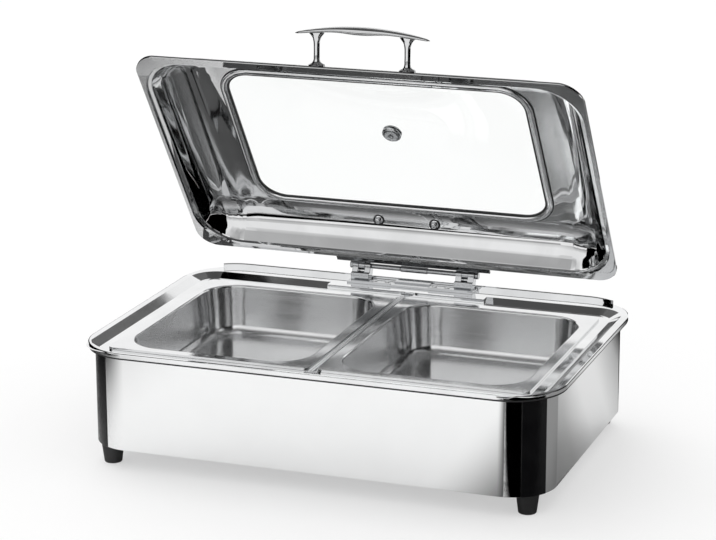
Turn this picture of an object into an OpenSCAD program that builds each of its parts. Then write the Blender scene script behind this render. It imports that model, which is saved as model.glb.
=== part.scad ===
// Electric chafing dish: polished body on four feet, water pan with a recessed rim,
// two half-size food pans and a hinged lid with a bowed glass window.
// Millimetres, +Z up, origin on the table under the centre of the rim.

/* [Rim and water pan] */
// Length of the rim, left to right
rim_w = 602; // [580:1:630]
// Depth of the rim, front to back
rim_d = 413; // [395:1:430]
// Height of the rim top above the table
rim_top = 151; // [140:1:170]
// Outer corner radius of the rim
rim_r = 68; // [62:1:74]
// Height of the rolled rim band
rim_band = 6; // [5:0.5:8]
// Thickness of the rolled rim band
band_t = 3; // [2:0.5:4]
// Sheet thickness of the water pan
pan_sheet = 1.2; // [0.8:0.1:1.5]
// Flat rim top at the left and right
side_flat = 9.5; // [8:0.5:12]
// Flat rim top at the front
front_flat = 4.5; // [4:0.5:7]
// Depth of the deck behind the recess
deck_d = 32.5; // [30:0.5:36]
// Horizontal run of the sloped recess wall
slope_run = 13; // [10:0.5:15]
// Drop from the rim top to the shelf
slope_drop = 6; // [5:0.5:8]
// Corner radius of the recess at the rim top
recess_r = 34; // [30:1:40]
// Width of the shelf that carries the food pans
shelf_w = 17; // [16:0.5:19]
// Depth of the well below the shelf
well_depth = 83; // [75:1:88]
// Inward lean of the well wall over its depth
well_lean = 8; // [5:1:12]
// Corner radius of the well
well_r = 40; // [36:1:46]
// Width of the hinge pad in front of the deck
pad_w = 214; // [200:1:230]
// Height of the upstand along the rear edge
upstand_h = 5.5; // [4:0.5:7]
// Thickness of the upstand
upstand_t = 4; // [3:0.5:4.5]
// Distance of the upstand from the rim edge
upstand_set = 0.8; // [0.5:0.1:1.5]
// Angle that the upstand follows round each rear corner
upstand_turn = 32; // [20:1:50]

/* [Body] */
// Distance of the panels inside the rim edge
panel_inset = 10; // [8:0.5:12]
// Sheet thickness of the panels
panel_t = 1; // [0.8:0.1:1.5]
// Outer corner radius of the body
body_r = 56; // [50:1:62]
// Height of the panel bottom edge above the table
panel_bottom = 25; // [20:1:32]
// Width of the folded edge at the bottom of a panel
bottom_fold = 14; // [12:0.5:18]
// Width of the folded edge at the top of a panel
top_fold = 18; // [16:0.5:20]
// Angle that a panel follows round each corner
panel_turn = 28; // [20:1:34]
// Height of a corner post face above the panel face
post_proud = 0.8; // [0.4:0.1:1.2]
// Depth of the rib behind a corner post
post_rib = 4; // [3:0.5:5]
// Angle that the rib reaches behind each panel end
post_overlap = 4; // [3:0.5:6]
// Thickness of the base plate
base_t = 1.5; // [1.2:0.1:2]
// Radius of a foot at the table
foot_r = 11; // [9:0.5:13]
// Radius of a foot at the body
foot_top_r = 14; // [12:0.5:16]
// Distance of a foot axis from the panel faces
foot_set = 27; // [25:0.5:32]
// Radius of the spigot on a foot
foot_spigot_r = 8; // [6:0.5:9]
// Shank radius of a foot screw
foot_screw_r = 2; // [1.5:0.1:2.5]
// Length of a foot screw inside its foot
foot_screw_len = 13; // [10:0.5:16]
// Distance between the cooling slots in the base plate
slot_step = 35; // [30:1:40]
// Distance between the rows of cooling slots
slot_row = 60; // [50:1:80]

/* [Food pans] */
// Gap between the recess and the food pans, left and right
pan_gap_side = 13.5; // [12.5:0.5:15]
// Gap between the recess and the food pans at the front
pan_gap_front = 13; // [12.5:0.5:15]
// Gap between the recess and the food pans at the rear
pan_gap_rear = 16; // [15:0.5:16]
// Gap between the two food pans
pan_between = 11; // [10:0.5:13]
// Sheet thickness of a food pan
pan_t = 0.9; // [0.7:0.1:1.1]
// Width of a food pan flange
pan_flange = 12; // [11:0.5:14]
// Height of the turned-down flange edge
pan_edge = 2.8; // [2:0.1:2.8]
// Outer corner radius of a food pan flange
pan_r = 8; // [6:1:12]
// Corner radius of a food pan opening
pan_hole_r = 47; // [42:1:50]
// Depth of a food pan
pan_depth = 65; // [55:1:70]
// Lean of a food pan wall
pan_draft = 5; // [3:0.5:8]
// Radius between wall and floor of a food pan
pan_fillet = 14; // [10:1:16]
// Rounding between flange and wall of a food pan
pan_roll = 3; // [2:0.5:4]
// Width of the divider bar ledge
bar_w = 24; // [20:1:26]
// Thickness of the divider bar ledge
bar_t = 3; // [2:0.5:4]
// Width of the divider bar ridge
bar_ridge_w = 7; // [5:0.5:8]
// Height of the divider bar ridge
bar_ridge_h = 2.4; // [1.5:0.1:2.6]
// Length of the bar ends on the shelf
bar_end = 10; // [8:0.5:12]
// Width of the bar ends
bar_end_w = 16; // [12:1:20]

/* [Hinge] */
// Opening of the lid at rest, from closed
lid_angle = 54.8; // [0:0.1:90]
// Distance of the hinge axis from the rim rear edge
hinge_set = 6.5; // [6:0.5:8]
// Height of the hinge axis above the rim top
hinge_rise = 19.3; // [18:0.1:22]
// Radius of the hinge pin
pin_r = 2.5; // [2:0.1:3]
// Distance of a hinge fork from the middle
fork_x = 71; // [66:0.5:76]
// Width of one fork cheek
cheek_w = 8; // [6:0.5:9]
// Outer radius of a fork cheek
cheek_r = 7; // [6:0.5:7.5]
// Outer radius of a lid barrel
barrel_r = 6.5; // [5.5:0.5:7]
// Width of a lid barrel
barrel_w = 8.2; // [7:0.1:9]
// Depth of a fork at the hinge base
fork_d = 13.5; // [12:0.5:14]
// Outer radius of the damper tube
damper_r = 3.4; // [3:0.1:3.8]
// Outer radius of the damper collar
damper_collar_r = 4.2; // [4:0.1:5]
// Length of the damper collar
damper_collar_w = 36; // [24:1:48]
// Half length of the hinge base
hinge_base_x = 86; // [86:1:100]
// Depth of the hinge base
hinge_base_d = 22.5; // [21:0.5:23]
// Thickness of the hinge base
hinge_base_t = 2.2; // [1.5:0.1:3]
// Half length of the lid leaf
leaf_x = 105; // [95:1:112]
// Thickness of the lid leaf
leaf_t = 2.4; // [2:0.1:3]
// Distance of a leaf bolt from the middle
leaf_bolt_x = 38; // [32:1:46]
// Height of the leaf bolts above the lid flange
leaf_bolt_h = 38; // [34:0.5:39]
// Shank radius of a leaf bolt
leaf_bolt_r = 2.2; // [1.8:0.1:2.6]
// Radius of a domed leaf nut
nut_r = 4.4; // [4:0.1:5]
// Height of a domed leaf nut
nut_h = 7.5; // [7:0.5:9]
// Shank radius of a hinge base screw
base_screw_r = 1.8; // [1.5:0.1:2.2]

/* [Lid] */
// Length of the lid flange, left to right
lid_w = 570; // [550:1:570]
// Depth of the lid flange, front to back
lid_d = 354.5; // [340:0.5:354.5]
// Distance from the hinge axis to the lid flange
lid_back = 41; // [40:0.5:44]
// Depth of the closed lid flange below the rim top
lid_sink = 2.7; // [2:0.1:2.7]
// Sheet thickness of the lid
lid_t = 1; // [0.8:0.1:1.2]
// Outer corner radius of the lid flange
lid_r = 28; // [28:1:36]
// Height of the hem round the lid flange
hem_h = 3; // [2.5:0.1:4]
// Width of the flange at the left and right
flange_side = 5; // [4:0.5:7]
// Width of the flange at the front
flange_front = 9.5; // [8:0.5:11]
// Width of the flange at the rear
flange_rear = 5; // [4:0.5:6]
// Corner radius of the dome at the flange
dome_r = 57; // [56:1:58]
// Width of the ring between flange and wall
ring_w = 6.4; // [5.5:0.1:7]
// Height of the ring above the flange
ring_h = 5.2; // [4:0.1:6]
// Inward lean of the lid wall at the ring
wall_lean = 24; // [22:0.5:26]
// Inside height of the lid top frame
dome_h = 43; // [42:0.5:45]
// Radius between wall and top frame
shoulder_r = 44; // [42:0.5:45]
// Length of the clear window
win_w = 389; // [370:1:395]
// Depth of the clear window
win_d = 229; // [215:1:230]
// Corner radius of the clear window
win_r = 34; // [24:1:44]
// Width of glass that lies on the frame
glass_edge = 6; // [5:0.5:8]
// Thickness of the glass
glass_t = 2.6; // [2:0.1:3.5]
// Bow of the glass at its middle
glass_bow = 19; // [5:1:22]
// Thickness of the window gasket
gasket_t = 0.8; // [0.6:0.1:1.2]
// Width of the window gasket
gasket_w = 5; // [4:0.5:6]
// Width of the trim wall round the glass
trim_wall = 2; // [1.5:0.5:3]
// Thickness of the trim over the glass
trim_t = 1; // [0.8:0.1:1.5]
// Width of the bezel round the window, inside the lid
bezel_w = 8; // [6:0.5:9]
// Height of the bezel
bezel_h = 2.4; // [2:0.1:4]
// Lap of the bezel over the edge of the opening
bezel_lap = 1; // [0.8:0.1:1.5]
// Outer radius of the steam vent
vent_r = 12.5; // [10:0.5:15]
// Stem radius of the steam vent
vent_stem_r = 7; // [5:0.5:8]
// Radius of the steam hole
vent_hole_r = 2; // [1.5:0.1:3]
// Thickness of the steam vent rims
vent_t = 3; // [2.5:0.1:4]

/* [Handle] */
// Distance of a handle post from the middle
post_x = 58; // [52:1:64]
// Height of the post foot above the lid flange
post_h = 33; // [30:0.5:34]
// Turn of the handle posts out of the plane of the lid flange
post_lean = 37; // [32:0.5:42]
// Length of a handle post
post_len = 41; // [38:1:50]
// Radius of a handle post
post_r = 3.6; // [3:0.1:4.5]
// Radius of a post foot
post_foot_r = 10; // [8:0.5:11]
// Half width of the flared post head
post_flare = 10.5; // [8:0.5:12]
// Height of the flared post head
post_flare_h = 12; // [9:0.5:14]
// Half length of the handle bar
grip_x = 86; // [78:1:92]
// Width of the handle bar in the middle
grip_w = 18; // [17:0.5:22]
// Width of the handle bar at its ends
grip_end_w = 5; // [4:0.5:7]
// Thickness of the handle bar in the middle
grip_t = 7; // [5:0.1:8]
// Thickness of the handle bar at its ends
grip_end_t = 2.4; // [2:0.1:3]
// Rise of the handle bar in the middle
grip_rise = 10; // [9:0.5:14]
// Shank radius of a handle screw
handle_screw_r = 1.8; // [1.5:0.1:2.2]
// Length of a handle screw inside its post
handle_screw_len = 12; // [10:0.5:16]

/* [Heater and controls] */
// Radius of the heating tube
heater_r = 4; // [3:0.5:5]
// Half length of the straight heater legs
heater_x = 170; // [140:1:180]
// Half distance between the heater legs
heater_y = 70; // [55:1:80]
// Height of the controls above the table
control_z = 88; // [80:1:100]
// Distance of the thermostat from the right face of the body
knob_set = 126; // [110:1:140]
// Distance between the controls
control_step = 60; // [55:1:66]
// Radius of the thermostat knob
knob_r = 19; // [16:0.5:22]
// Height of the thermostat knob
knob_h = 15; // [12:0.5:15.5]
// Radius of the thermostat spindle
spindle_r = 3; // [2.5:0.1:3.5]
// Width of the power switch rocker
rocker_w = 15; // [12:0.5:16]
// Height of the power switch rocker
rocker_h = 21; // [18:0.5:22]
// Tilt of the rocker to each side
rocker_tilt = 8; // [5:0.5:10]
// Width of the power inlet socket
inlet_w = 24; // [22:0.5:26]
// Height of the power inlet socket
inlet_h = 16; // [14:0.5:18]

/* [Clearances] */
// Gap between seated faces
seat_gap = 0.2; // [0.1:0.05:0.3]
// Gap between pieces that lie side by side
side_gap = 0.3; // [0.2:0.05:0.5]
// Running gap round the pins
run_gap = 0.05; // [0.02:0.01:0.1]

/* [Hidden] */
$fn = 96;
rim_x = rim_w / 2;
rim_y = rim_d / 2;
shelf_top = rim_top - slope_drop;
recess_x = rim_x - side_flat;
recess_y0 = -rim_y + front_flat;
recess_y1 = rim_y - deck_d;
slope_shift = pan_sheet * 1.1;
shelf_under = shelf_top - slope_shift;
floor_x = recess_x - slope_run;
floor_y0 = recess_y0 + slope_run;
floor_y1 = recess_y1 - slope_run;
well_x = floor_x - shelf_w;
well_y0 = floor_y0 + shelf_w;
well_y1 = floor_y1 - shelf_w;
well_floor = shelf_top - well_depth;
well_under = well_floor - pan_sheet;
well_mid = (well_y0 + well_y1) / 2;

body_x = rim_x - panel_inset;
body_y = rim_y - panel_inset;
panel_top = shelf_under - seat_gap;
rear_panel_top = rim_top - pan_sheet - seat_gap;
panel_inner_y = body_y - panel_t;
gap_angle = side_gap / body_r * 180 / PI;
rib_r = body_r - panel_t - seat_gap;
base_set = panel_t + seat_gap + post_rib + side_gap;
base_z = panel_bottom + panel_t + seat_gap / 2;
foot_x = body_x - foot_set;
foot_y = body_y - foot_set;
foot_h = panel_bottom - seat_gap;

pan_x1 = floor_x - pan_gap_side;
pan_x0 = pan_between / 2;
pan_y0 = floor_y0 + pan_gap_front;
pan_y1 = floor_y1 - pan_gap_rear;
pan_seat = shelf_top + seat_gap;
pan_top = pan_seat + pan_edge;
pan_floor = pan_top - pan_depth + pan_t;

hinge_y = rim_y - hinge_set;
hinge_z = rim_top + hinge_rise;
bore_r = pin_r + run_gap;
fork_in = fork_x - barrel_w / 2 - side_gap - cheek_w;
fork_out = fork_x + barrel_w / 2 + side_gap + cheek_w;
hinge_base_y1 = rim_y - upstand_set - upstand_t - side_gap * 4;
hinge_base_y0 = hinge_base_y1 - hinge_base_d;
hinge_base_z = rim_top + seat_gap / 2;
hinge_base_top = hinge_base_z + hinge_base_t;
fork_y1 = hinge_base_y1 - side_gap * 3;
fork_y0 = fork_y1 - fork_d;
leaf_edge = hinge_y - cheek_r - side_gap * 4;
base_screws = [9 - fork_in, -fork_in / 2 - 3, fork_in / 2 + 3, fork_in - 9];
base_screw_y = hinge_base_y0 + hinge_base_d / 2 - 4;

lid_z = rim_top - lid_sink;
lid_x = lid_w / 2;
lid_y1 = hinge_y - lid_back;
lid_y0 = lid_y1 - lid_d;
dome_x = lid_x - flange_side;
dome_y0 = lid_y0 + flange_front;
dome_y1 = lid_y1 - flange_rear;
lid_mid = (dome_y0 + dome_y1) / 2;
wall_top_h = dome_h - shoulder_r * (1 - sin(wall_lean));
wall_top_u = ring_w + (wall_top_h - ring_h) * tan(wall_lean);
shoulder_u = wall_top_u + shoulder_r * cos(wall_lean);
frame_top = lid_z + dome_h + lid_t;
gasket_z = frame_top + seat_gap / 2;
glass_z = gasket_z + gasket_t + seat_gap / 2;
trim_z = glass_z + glass_t + seat_gap / 2;
glass_x = win_w / 2 + bezel_lap + glass_edge;
glass_y = win_d / 2 + bezel_lap + glass_edge;
open_x = win_w / 2 + bezel_lap;
open_y = win_d / 2 + bezel_lap;
bow_x = win_w / 2 - 3;
bow_y = win_d / 2 - 3;
vent_drop = glass_bow * (pow(vent_r / bow_x, 2) + pow(vent_r / bow_y, 2)) + 0.15;
shoulder_h = dome_h - shoulder_r;
shoulder_out = shoulder_r + lid_t;
front_mid_y = dome_y0 + shoulder_u;
rear_mid_y = dome_y1 - shoulder_u;
front_wall_y = front_mid_y - sqrt(pow(shoulder_out, 2) - pow(post_h - shoulder_h, 2));
bolt_turn = asin((leaf_bolt_h - shoulder_h) / shoulder_r);
grip_top_r = (grip_x * grip_x + grip_rise * grip_rise) / (2 * grip_rise);
grip_fall = grip_rise + grip_end_t - grip_t;
grip_low_r = (grip_x * grip_x + grip_fall * grip_fall) / (2 * grip_fall);
grip_low = post_len + post_x * post_x / (2 * grip_low_r);
grip_half = grip_w / 2;
grip_side_r = (grip_x * grip_x + pow((grip_w - grip_end_w) / 2, 2)) / (grip_w - grip_end_w);

knob_x = body_x - knob_set;
switch_x = knob_x - control_step;
inlet_x = switch_x - control_step;
bushing_r = spindle_r + 2;
knob_y = body_y + 2;
rocker_y = body_y - 1.5;
rocker_pin_r = 1.5;
switch_half_x = rocker_w / 2 + 3;
switch_half_z = rocker_h / 2 + 4;
switch_hole_x = switch_half_x - 1 + side_gap;
switch_hole_z = switch_half_z - 1 + side_gap;

// Points on an arc, from angle a0 to angle a1
function arc(cu, ch, r, a0, a1, n) =
    [for (i = [0:n]) [cu + r * cos(a0 + (a1 - a0) * i / n), ch + r * sin(a0 + (a1 - a0) * i / n)]];
function reversed(p) = [for (i = [len(p) - 1:-1:0]) p[i]];
function unit(v) = v / norm(v);
function left_normal(a, b) = unit([a[1] - b[1], b[0] - a[0]]);
// Normal at one point of a path, stretched so that the offset keeps its thickness
function path_normal(p, i) =
    i == 0 ? left_normal(p[0], p[1]) :
    i == len(p) - 1 ? left_normal(p[i - 1], p[i]) :
    (left_normal(p[i - 1], p[i]) + left_normal(p[i], p[i + 1]))
        / (1 + left_normal(p[i - 1], p[i]) * left_normal(p[i], p[i + 1]));
function thick(p, t) = concat(p, reversed([for (i = [0:len(p) - 1]) p[i] + t * path_normal(p, i)]));

// Block with four round corners
module round_block(x0, x1, y0, y1, z0, z1, r) {
    translate([x0 + r, y0, z0]) cube([x1 - x0 - 2 * r, y1 - y0, z1 - z0]);
    translate([x0, y0 + r, z0]) cube([x1 - x0, y1 - y0 - 2 * r, z1 - z0]);
    for (cx = [x0 + r, x1 - r], cy = [y0 + r, y1 - r]) {
        translate([cx, cy, z0]) cylinder(r = r, h = z1 - z0);
    }
}

// Block with four round corners that narrows by run towards its bottom
module taper_block(x0, x1, y0, y1, z0, z1, r, run) {
    translate([0, y1 - r, 0]) rotate([90, 0, 0]) linear_extrude(y1 - y0 - 2 * r)
        polygon([[x0 + run, z0], [x1 - run, z0], [x1, z1], [x0, z1]]);
    translate([x0 + r, 0, 0]) rotate([90, 0, 90]) linear_extrude(x1 - x0 - 2 * r)
        polygon([[y0 + run, z0], [y1 - run, z0], [y1, z1], [y0, z1]]);
    for (cx = [x0 + r, x1 - r], cy = [y0 + r, y1 - r]) {
        translate([cx, cy, z0]) cylinder(r1 = r - run, r2 = r, h = z1 - z0);
    }
}

// Section [inward distance, height] carried round a rectangle with round corners
module ring_sweep(section, x0, x1, y0, y1, r) {
    turned = [for (p = section) [r - p[0], p[1]]];
    corners = [[x1 - r, y1 - r], [x0 + r, y1 - r], [x0 + r, y0 + r], [x1 - r, y0 + r]];
    lengths = [y1 - y0 - 2 * r, x1 - x0 - 2 * r, y1 - y0 - 2 * r, x1 - x0 - 2 * r];
    for (i = [0:3]) {
        translate([corners[i][0], corners[i][1], 0]) rotate([0, 0, 90 * i]) {
            rotate_extrude(angle = 90) polygon(turned);
            rotate([90, 0, 0]) linear_extrude(lengths[i]) polygon(turned);
        }
    }
}

// Part of a ring between two angles
module ring_sector(r0, r1, a0, a1, z0, z1) {
    rotate([0, 0, a0]) rotate_extrude(angle = a1 - a0)
        polygon([[r0, z0], [r1, z0], [r1, z1], [r0, z1]]);
}

// Turns the closed lid into its open place
module open_lid() {
    translate([0, hinge_y, hinge_z]) rotate([-lid_angle, 0, 0]) translate([0, -hinge_y, -hinge_z]) children();
}

// Cylinder along X at the hinge axis
module on_hinge(x0, x1, r) {
    translate([x0, hinge_y, hinge_z]) rotate([0, 90, 0]) cylinder(r = r, h = x1 - x0);
}

module rim_band_ring() {
    z0 = rim_top - rim_band;
    section = [[0, z0 + 0.8], [0.8, z0], [band_t, z0], [band_t, rim_top - pan_sheet],
        [band_t + 1, rim_top - pan_sheet], [band_t + 1, rim_top], [1.4, rim_top], [0.4, rim_top - 0.4],
        [0, rim_top - 1.4]];
    ring_sweep(section, -rim_x, rim_x, -rim_y, rim_y, rim_r);
}

module upstand() {
    top = rim_top + upstand_h;
    foot = rim_top - pan_sheet / 2;
    r1 = rim_r - upstand_set;
    r0 = r1 - upstand_t;
    section = [[r0, foot], [r1, foot], [r1, top - 1], [r1 - 1, top], [r0 + 1, top], [r0, top - 1]];
    for (half = [0, 1]) {
        mirror([half, 0, 0]) translate([-rim_x + rim_r, rim_y - rim_r, 0]) {
            rotate([90, 0, 90]) linear_extrude(rim_x - rim_r) polygon(section);
            rotate([0, 0, 90]) rotate_extrude(angle = upstand_turn) polygon(section);
        }
    }
}

module water_pan() {
    grow = pan_sheet / 2 * slope_run / slope_drop;
    color([0.80, 0.81, 0.82]) {
        difference() {
            union() {
                round_block(-rim_x + 2, rim_x - 2, -rim_y + 2, rim_y - 2,
                    rim_top - pan_sheet, rim_top, rim_r - 2);
                taper_block(-recess_x - grow, recess_x + grow, recess_y0 - grow, recess_y1 + grow,
                    shelf_under, rim_top - slope_shift + pan_sheet / 2, recess_r + grow, slope_run + grow);
                taper_block(-well_x - pan_sheet, well_x + pan_sheet, well_y0 - pan_sheet, well_y1 + pan_sheet,
                    well_under, shelf_under + 0.5, well_r + pan_sheet, well_lean);
            }
            taper_block(-recess_x, recess_x, recess_y0, recess_y1, shelf_top, rim_top, recess_r, slope_run);
            taper_block(-well_x, well_x, well_y0, well_y1, well_floor, shelf_top, well_r, well_lean);
        }
        rim_band_ring();
        translate([-pad_w / 2, floor_y1 + 0.5, shelf_under])
            cube([pad_w, slope_run + 2, rim_top - shelf_under]);
        upstand();
    }
}

// Panel that faces +X, with both ends curved
module wrap_panel(length, top) {
    r = body_r;
    section = [[r, panel_bottom], [r, top], [r - top_fold, top], [r - top_fold, top - panel_t],
        [r - panel_t, top - panel_t], [r - panel_t, panel_bottom + panel_t],
        [r - bottom_fold, panel_bottom + panel_t], [r - bottom_fold, panel_bottom]];
    for (half = [0, 1]) {
        mirror([0, half, 0]) translate([0, length / 2, 0]) {
            rotate([90, 0, 0]) linear_extrude(length / 2) polygon(section);
            rotate_extrude(angle = panel_turn) polygon(section);
        }
    }
}

module front_panel() {
    color([0.86, 0.87, 0.88]) translate([0, -body_y + body_r, 0]) rotate([0, 0, -90])
        wrap_panel(2 * (body_x - body_r), panel_top);
}

module rear_panel() {
    color([0.86, 0.87, 0.88]) difference() {
        translate([0, body_y - body_r, 0]) rotate([0, 0, 90])
            wrap_panel(2 * (body_x - body_r), rear_panel_top);
        translate([knob_x, body_y + 1, control_z]) rotate([90, 0, 0])
            cylinder(r = bushing_r + side_gap, h = 3);
        translate([switch_x - switch_hole_x, body_y - 2, control_z - switch_hole_z])
            cube([2 * switch_hole_x, 3, 2 * switch_hole_z]);
        translate([inlet_x - inlet_w / 2 - 2 - side_gap, body_y - 2, control_z - inlet_h / 2 - 2 - side_gap])
            cube([inlet_w + 4 + 2 * side_gap, 3, inlet_h + 4 + 2 * side_gap]);
        for (side = [-1, 1]) {
            translate([inlet_x + side * (inlet_w / 2 + 8), body_y + 1, control_z]) rotate([90, 0, 0])
                cylinder(r = 1.8, h = 3);
        }
    }
}

module left_panel() {
    color([0.86, 0.87, 0.88]) translate([-body_x + body_r, 0, 0]) rotate([0, 0, 180])
        wrap_panel(2 * (body_y - body_r), panel_top);
}

module right_panel() {
    color([0.86, 0.87, 0.88]) translate([body_x - body_r, 0, 0])
        wrap_panel(2 * (body_y - body_r), panel_top);
}

// Corner post of the quarter that opens towards +X and +Y
module corner_post() {
    color([0.03, 0.03, 0.03]) {
        ring_sector(rib_r - 1, body_r + post_proud, panel_turn + gap_angle, 90 - panel_turn - gap_angle,
            panel_bottom, panel_top);
        ring_sector(rib_r - post_rib, rib_r, panel_turn - post_overlap, 90 - panel_turn + post_overlap,
            panel_bottom + panel_t + seat_gap, panel_top - panel_t - seat_gap);
    }
}

module post_front_left() {
    translate([-body_x + body_r, -body_y + body_r, 0]) rotate([0, 0, 180]) corner_post();
}

module post_front_right() {
    translate([body_x - body_r, -body_y + body_r, 0]) rotate([0, 0, 270]) corner_post();
}

module post_rear_left() {
    translate([-body_x + body_r, body_y - body_r, 0]) rotate([0, 0, 90]) corner_post();
}

module post_rear_right() {
    translate([body_x - body_r, body_y - body_r, 0]) corner_post();
}

module base_plate() {
    color([0.62, 0.63, 0.64]) difference() {
        round_block(-body_x + base_set, body_x - base_set, -body_y + base_set, body_y - base_set,
            base_z, base_z + base_t, body_r - base_set);
        for (x = [-foot_x, foot_x], y = [-foot_y, foot_y]) {
            translate([x, y, base_z - 1]) cylinder(r = foot_screw_r + side_gap, h = base_t + 2);
        }
        for (i = [-6:6], j = [-1:1]) {
            translate([i * slot_step - 11, j * slot_row - 2, base_z - 1]) cube([22, 4, base_t + 2]);
        }
    }
}

module foot() {
    section = [[0, 1.2], [foot_r - 4, 1.2], [foot_r - 3.4, 0], [foot_r - 1.2, 0], [foot_r - 0.3, 0.5],
        [foot_r, 1.6], [foot_top_r, foot_h], [foot_spigot_r, foot_h], [foot_spigot_r, base_z - seat_gap / 2],
        [foot_screw_r + run_gap, base_z - seat_gap / 2],
        [foot_screw_r + run_gap, foot_h - foot_screw_len - 1], [0, foot_h - foot_screw_len - 1]];
    rotate_extrude() polygon(section);
}

module feet() {
    color([0.05, 0.05, 0.05]) for (x = [-foot_x, foot_x], y = [-foot_y, foot_y]) {
        translate([x, y, 0]) foot();
    }
}

module foot_screws() {
    color([0.55, 0.56, 0.57]) for (x = [-foot_x, foot_x], y = [-foot_y, foot_y]) {
        translate([x, y, foot_h - foot_screw_len])
            cylinder(r = foot_screw_r, h = base_z + base_t + 0.5 - foot_h + foot_screw_len);
        translate([x, y, base_z + base_t + seat_gap / 2]) cylinder(r = foot_screw_r + 2, h = 2.4);
    }
}

module divider_bar() {
    color([0.78, 0.79, 0.80]) {
        translate([-bar_w / 2, well_y0 + 0.6, shelf_top - bar_t])
            cube([bar_w, well_y1 - well_y0 - 1.2, bar_t]);
        translate([-bar_ridge_w / 2, well_y0 - bar_end, shelf_top])
            cube([bar_ridge_w, well_y1 - well_y0 + 2 * bar_end, bar_ridge_h]);
        translate([-bar_end_w / 2, well_y0 - bar_end, shelf_top]) cube([bar_end_w, 5, 1.2]);
        translate([-bar_end_w / 2, well_y1 + bar_end - 6, shelf_top]) cube([bar_end_w, 6, 1.2]);
    }
}

// Food pan that spans x0 to x1
module food_pan(x0, x1) {
    wall = [[cos(pan_draft), sin(pan_draft)], [sin(pan_draft), -cos(pan_draft)]];
    roll_end = [pan_roll * wall[0][0], pan_top - pan_roll + pan_roll * wall[0][1]];
    run = (roll_end[1] + pan_fillet * wall[0][1] - pan_floor - pan_fillet) / cos(pan_draft);
    fillet_mid = roll_end + run * wall[1] + pan_fillet * wall[0];
    inside = concat([[-1, pan_top]], arc(0, pan_top - pan_roll, pan_roll, 90, pan_draft, 5),
        arc(fillet_mid[0], fillet_mid[1], pan_fillet, 180 + pan_draft, 270, 8),
        [[fillet_mid[0] + 2, pan_floor]]);
    outside = concat([[-1, pan_top - pan_t]], arc(0, pan_top - pan_roll, pan_roll - pan_t, 90, pan_draft, 5),
        arc(fillet_mid[0], fillet_mid[1], pan_fillet + pan_t, 180 + pan_draft, 270, 8),
        [[fillet_mid[0] + 2, pan_floor - pan_t]]);
    hx0 = x0 + pan_flange;
    hx1 = x1 - pan_flange;
    hy0 = pan_y0 + pan_flange;
    hy1 = pan_y1 - pan_flange;
    u = fillet_mid[0] + 1;
    color([0.74, 0.75, 0.76]) {
        ring_sweep(concat(inside, reversed(outside)), hx0, hx1, hy0, hy1, pan_hole_r);
        round_block(hx0 + u, hx1 - u, hy0 + u, hy1 - u, pan_floor - pan_t, pan_floor, pan_hole_r - u);
        difference() {
            round_block(x0, x1, pan_y0, pan_y1, pan_seat, pan_top, pan_r);
            round_block(x0 + pan_t, x1 - pan_t, pan_y0 + pan_t, pan_y1 - pan_t,
                pan_seat - 1, pan_top - pan_t, pan_r - pan_t);
            round_block(hx0, hx1, hy0, hy1, pan_seat, pan_top + 1, pan_hole_r);
        }
    }
}

module left_food_pan() {
    food_pan(-pan_x1, -pan_x0);
}

module right_food_pan() {
    food_pan(pan_x0, pan_x1);
}

module heater() {
    z = well_under - heater_r - seat_gap;
    color([0.35, 0.30, 0.27]) translate([0, well_mid, z]) {
        for (side = [-1, 1]) {
            translate([-heater_x, side * heater_y, 0]) rotate([0, 90, 0])
                cylinder(r = heater_r, h = 2 * heater_x);
            translate([heater_x - 1, side * heater_y, 0]) rotate([0, 90, 0])
                cylinder(r = heater_r / 2, h = 22);
        }
        translate([-heater_x, 0, 0]) rotate([0, 0, 90]) rotate_extrude(angle = 180)
            translate([heater_y, 0]) circle(r = heater_r);
    }
}

module heater_clips() {
    z = well_under - heater_r - seat_gap;
    h = 2 * heater_r + 2.4;
    color([0.70, 0.71, 0.72]) for (x = [-heater_x + 40, heater_x - 40], side = [-1, 1]) {
        translate([x - 7, well_mid + side * heater_y, well_under - seat_gap / 2]) difference() {
            translate([0, -heater_r - 6, -h]) cube([14, 2 * heater_r + 12, h]);
            translate([-1, 0, -heater_r - seat_gap / 2]) rotate([0, 90, 0])
                cylinder(r = heater_r + seat_gap, h = 16);
            translate([-1, -heater_r - seat_gap, -heater_r - seat_gap / 2])
                cube([16, 2 * (heater_r + seat_gap), heater_r + 1]);
            for (end = [-1, 1]) {
                translate([-1, end * (heater_r + 4.6) - 3, -h - 1]) cube([16, 6, h - 0.4]);
            }
        }
    }
}

module thermostat() {
    color([0.20, 0.20, 0.21]) translate([knob_x, 0, control_z]) difference() {
        union() {
            translate([-18, panel_inner_y - seat_gap - 26, -15]) cube([36, 26, 30]);
            translate([0, panel_inner_y - seat_gap - 1, 0]) rotate([-90, 0, 0])
                cylinder(r = bushing_r, h = knob_y - side_gap - panel_inner_y + seat_gap + 1);
        }
        translate([0, panel_inner_y - 14, 0]) rotate([-90, 0, 0]) cylinder(r = spindle_r + run_gap, h = 40);
    }
}

module knob_spindle() {
    color([0.70, 0.71, 0.72]) translate([knob_x, panel_inner_y - 13, control_z]) rotate([-90, 0, 0])
        cylinder(r = spindle_r, h = knob_y + knob_h - 5 - panel_inner_y + 13);
}

module knob() {
    section = [[spindle_r + run_gap, 0], [knob_r, 0], [knob_r, 3], [knob_r - 2, 4.5],
        [knob_r - 3, knob_h - 1.5], [knob_r - 4.5, knob_h], [0, knob_h], [0, knob_h - 4.5],
        [spindle_r + run_gap, knob_h - 4.5]];
    color([0.06, 0.06, 0.07]) translate([knob_x, knob_y, control_z]) rotate([-90, 0, 0]) {
        rotate_extrude() polygon(section);
        translate([-1.5, -knob_r + 4, knob_h - 1]) cube([3, knob_r - 4, 2]);
    }
}

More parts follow.
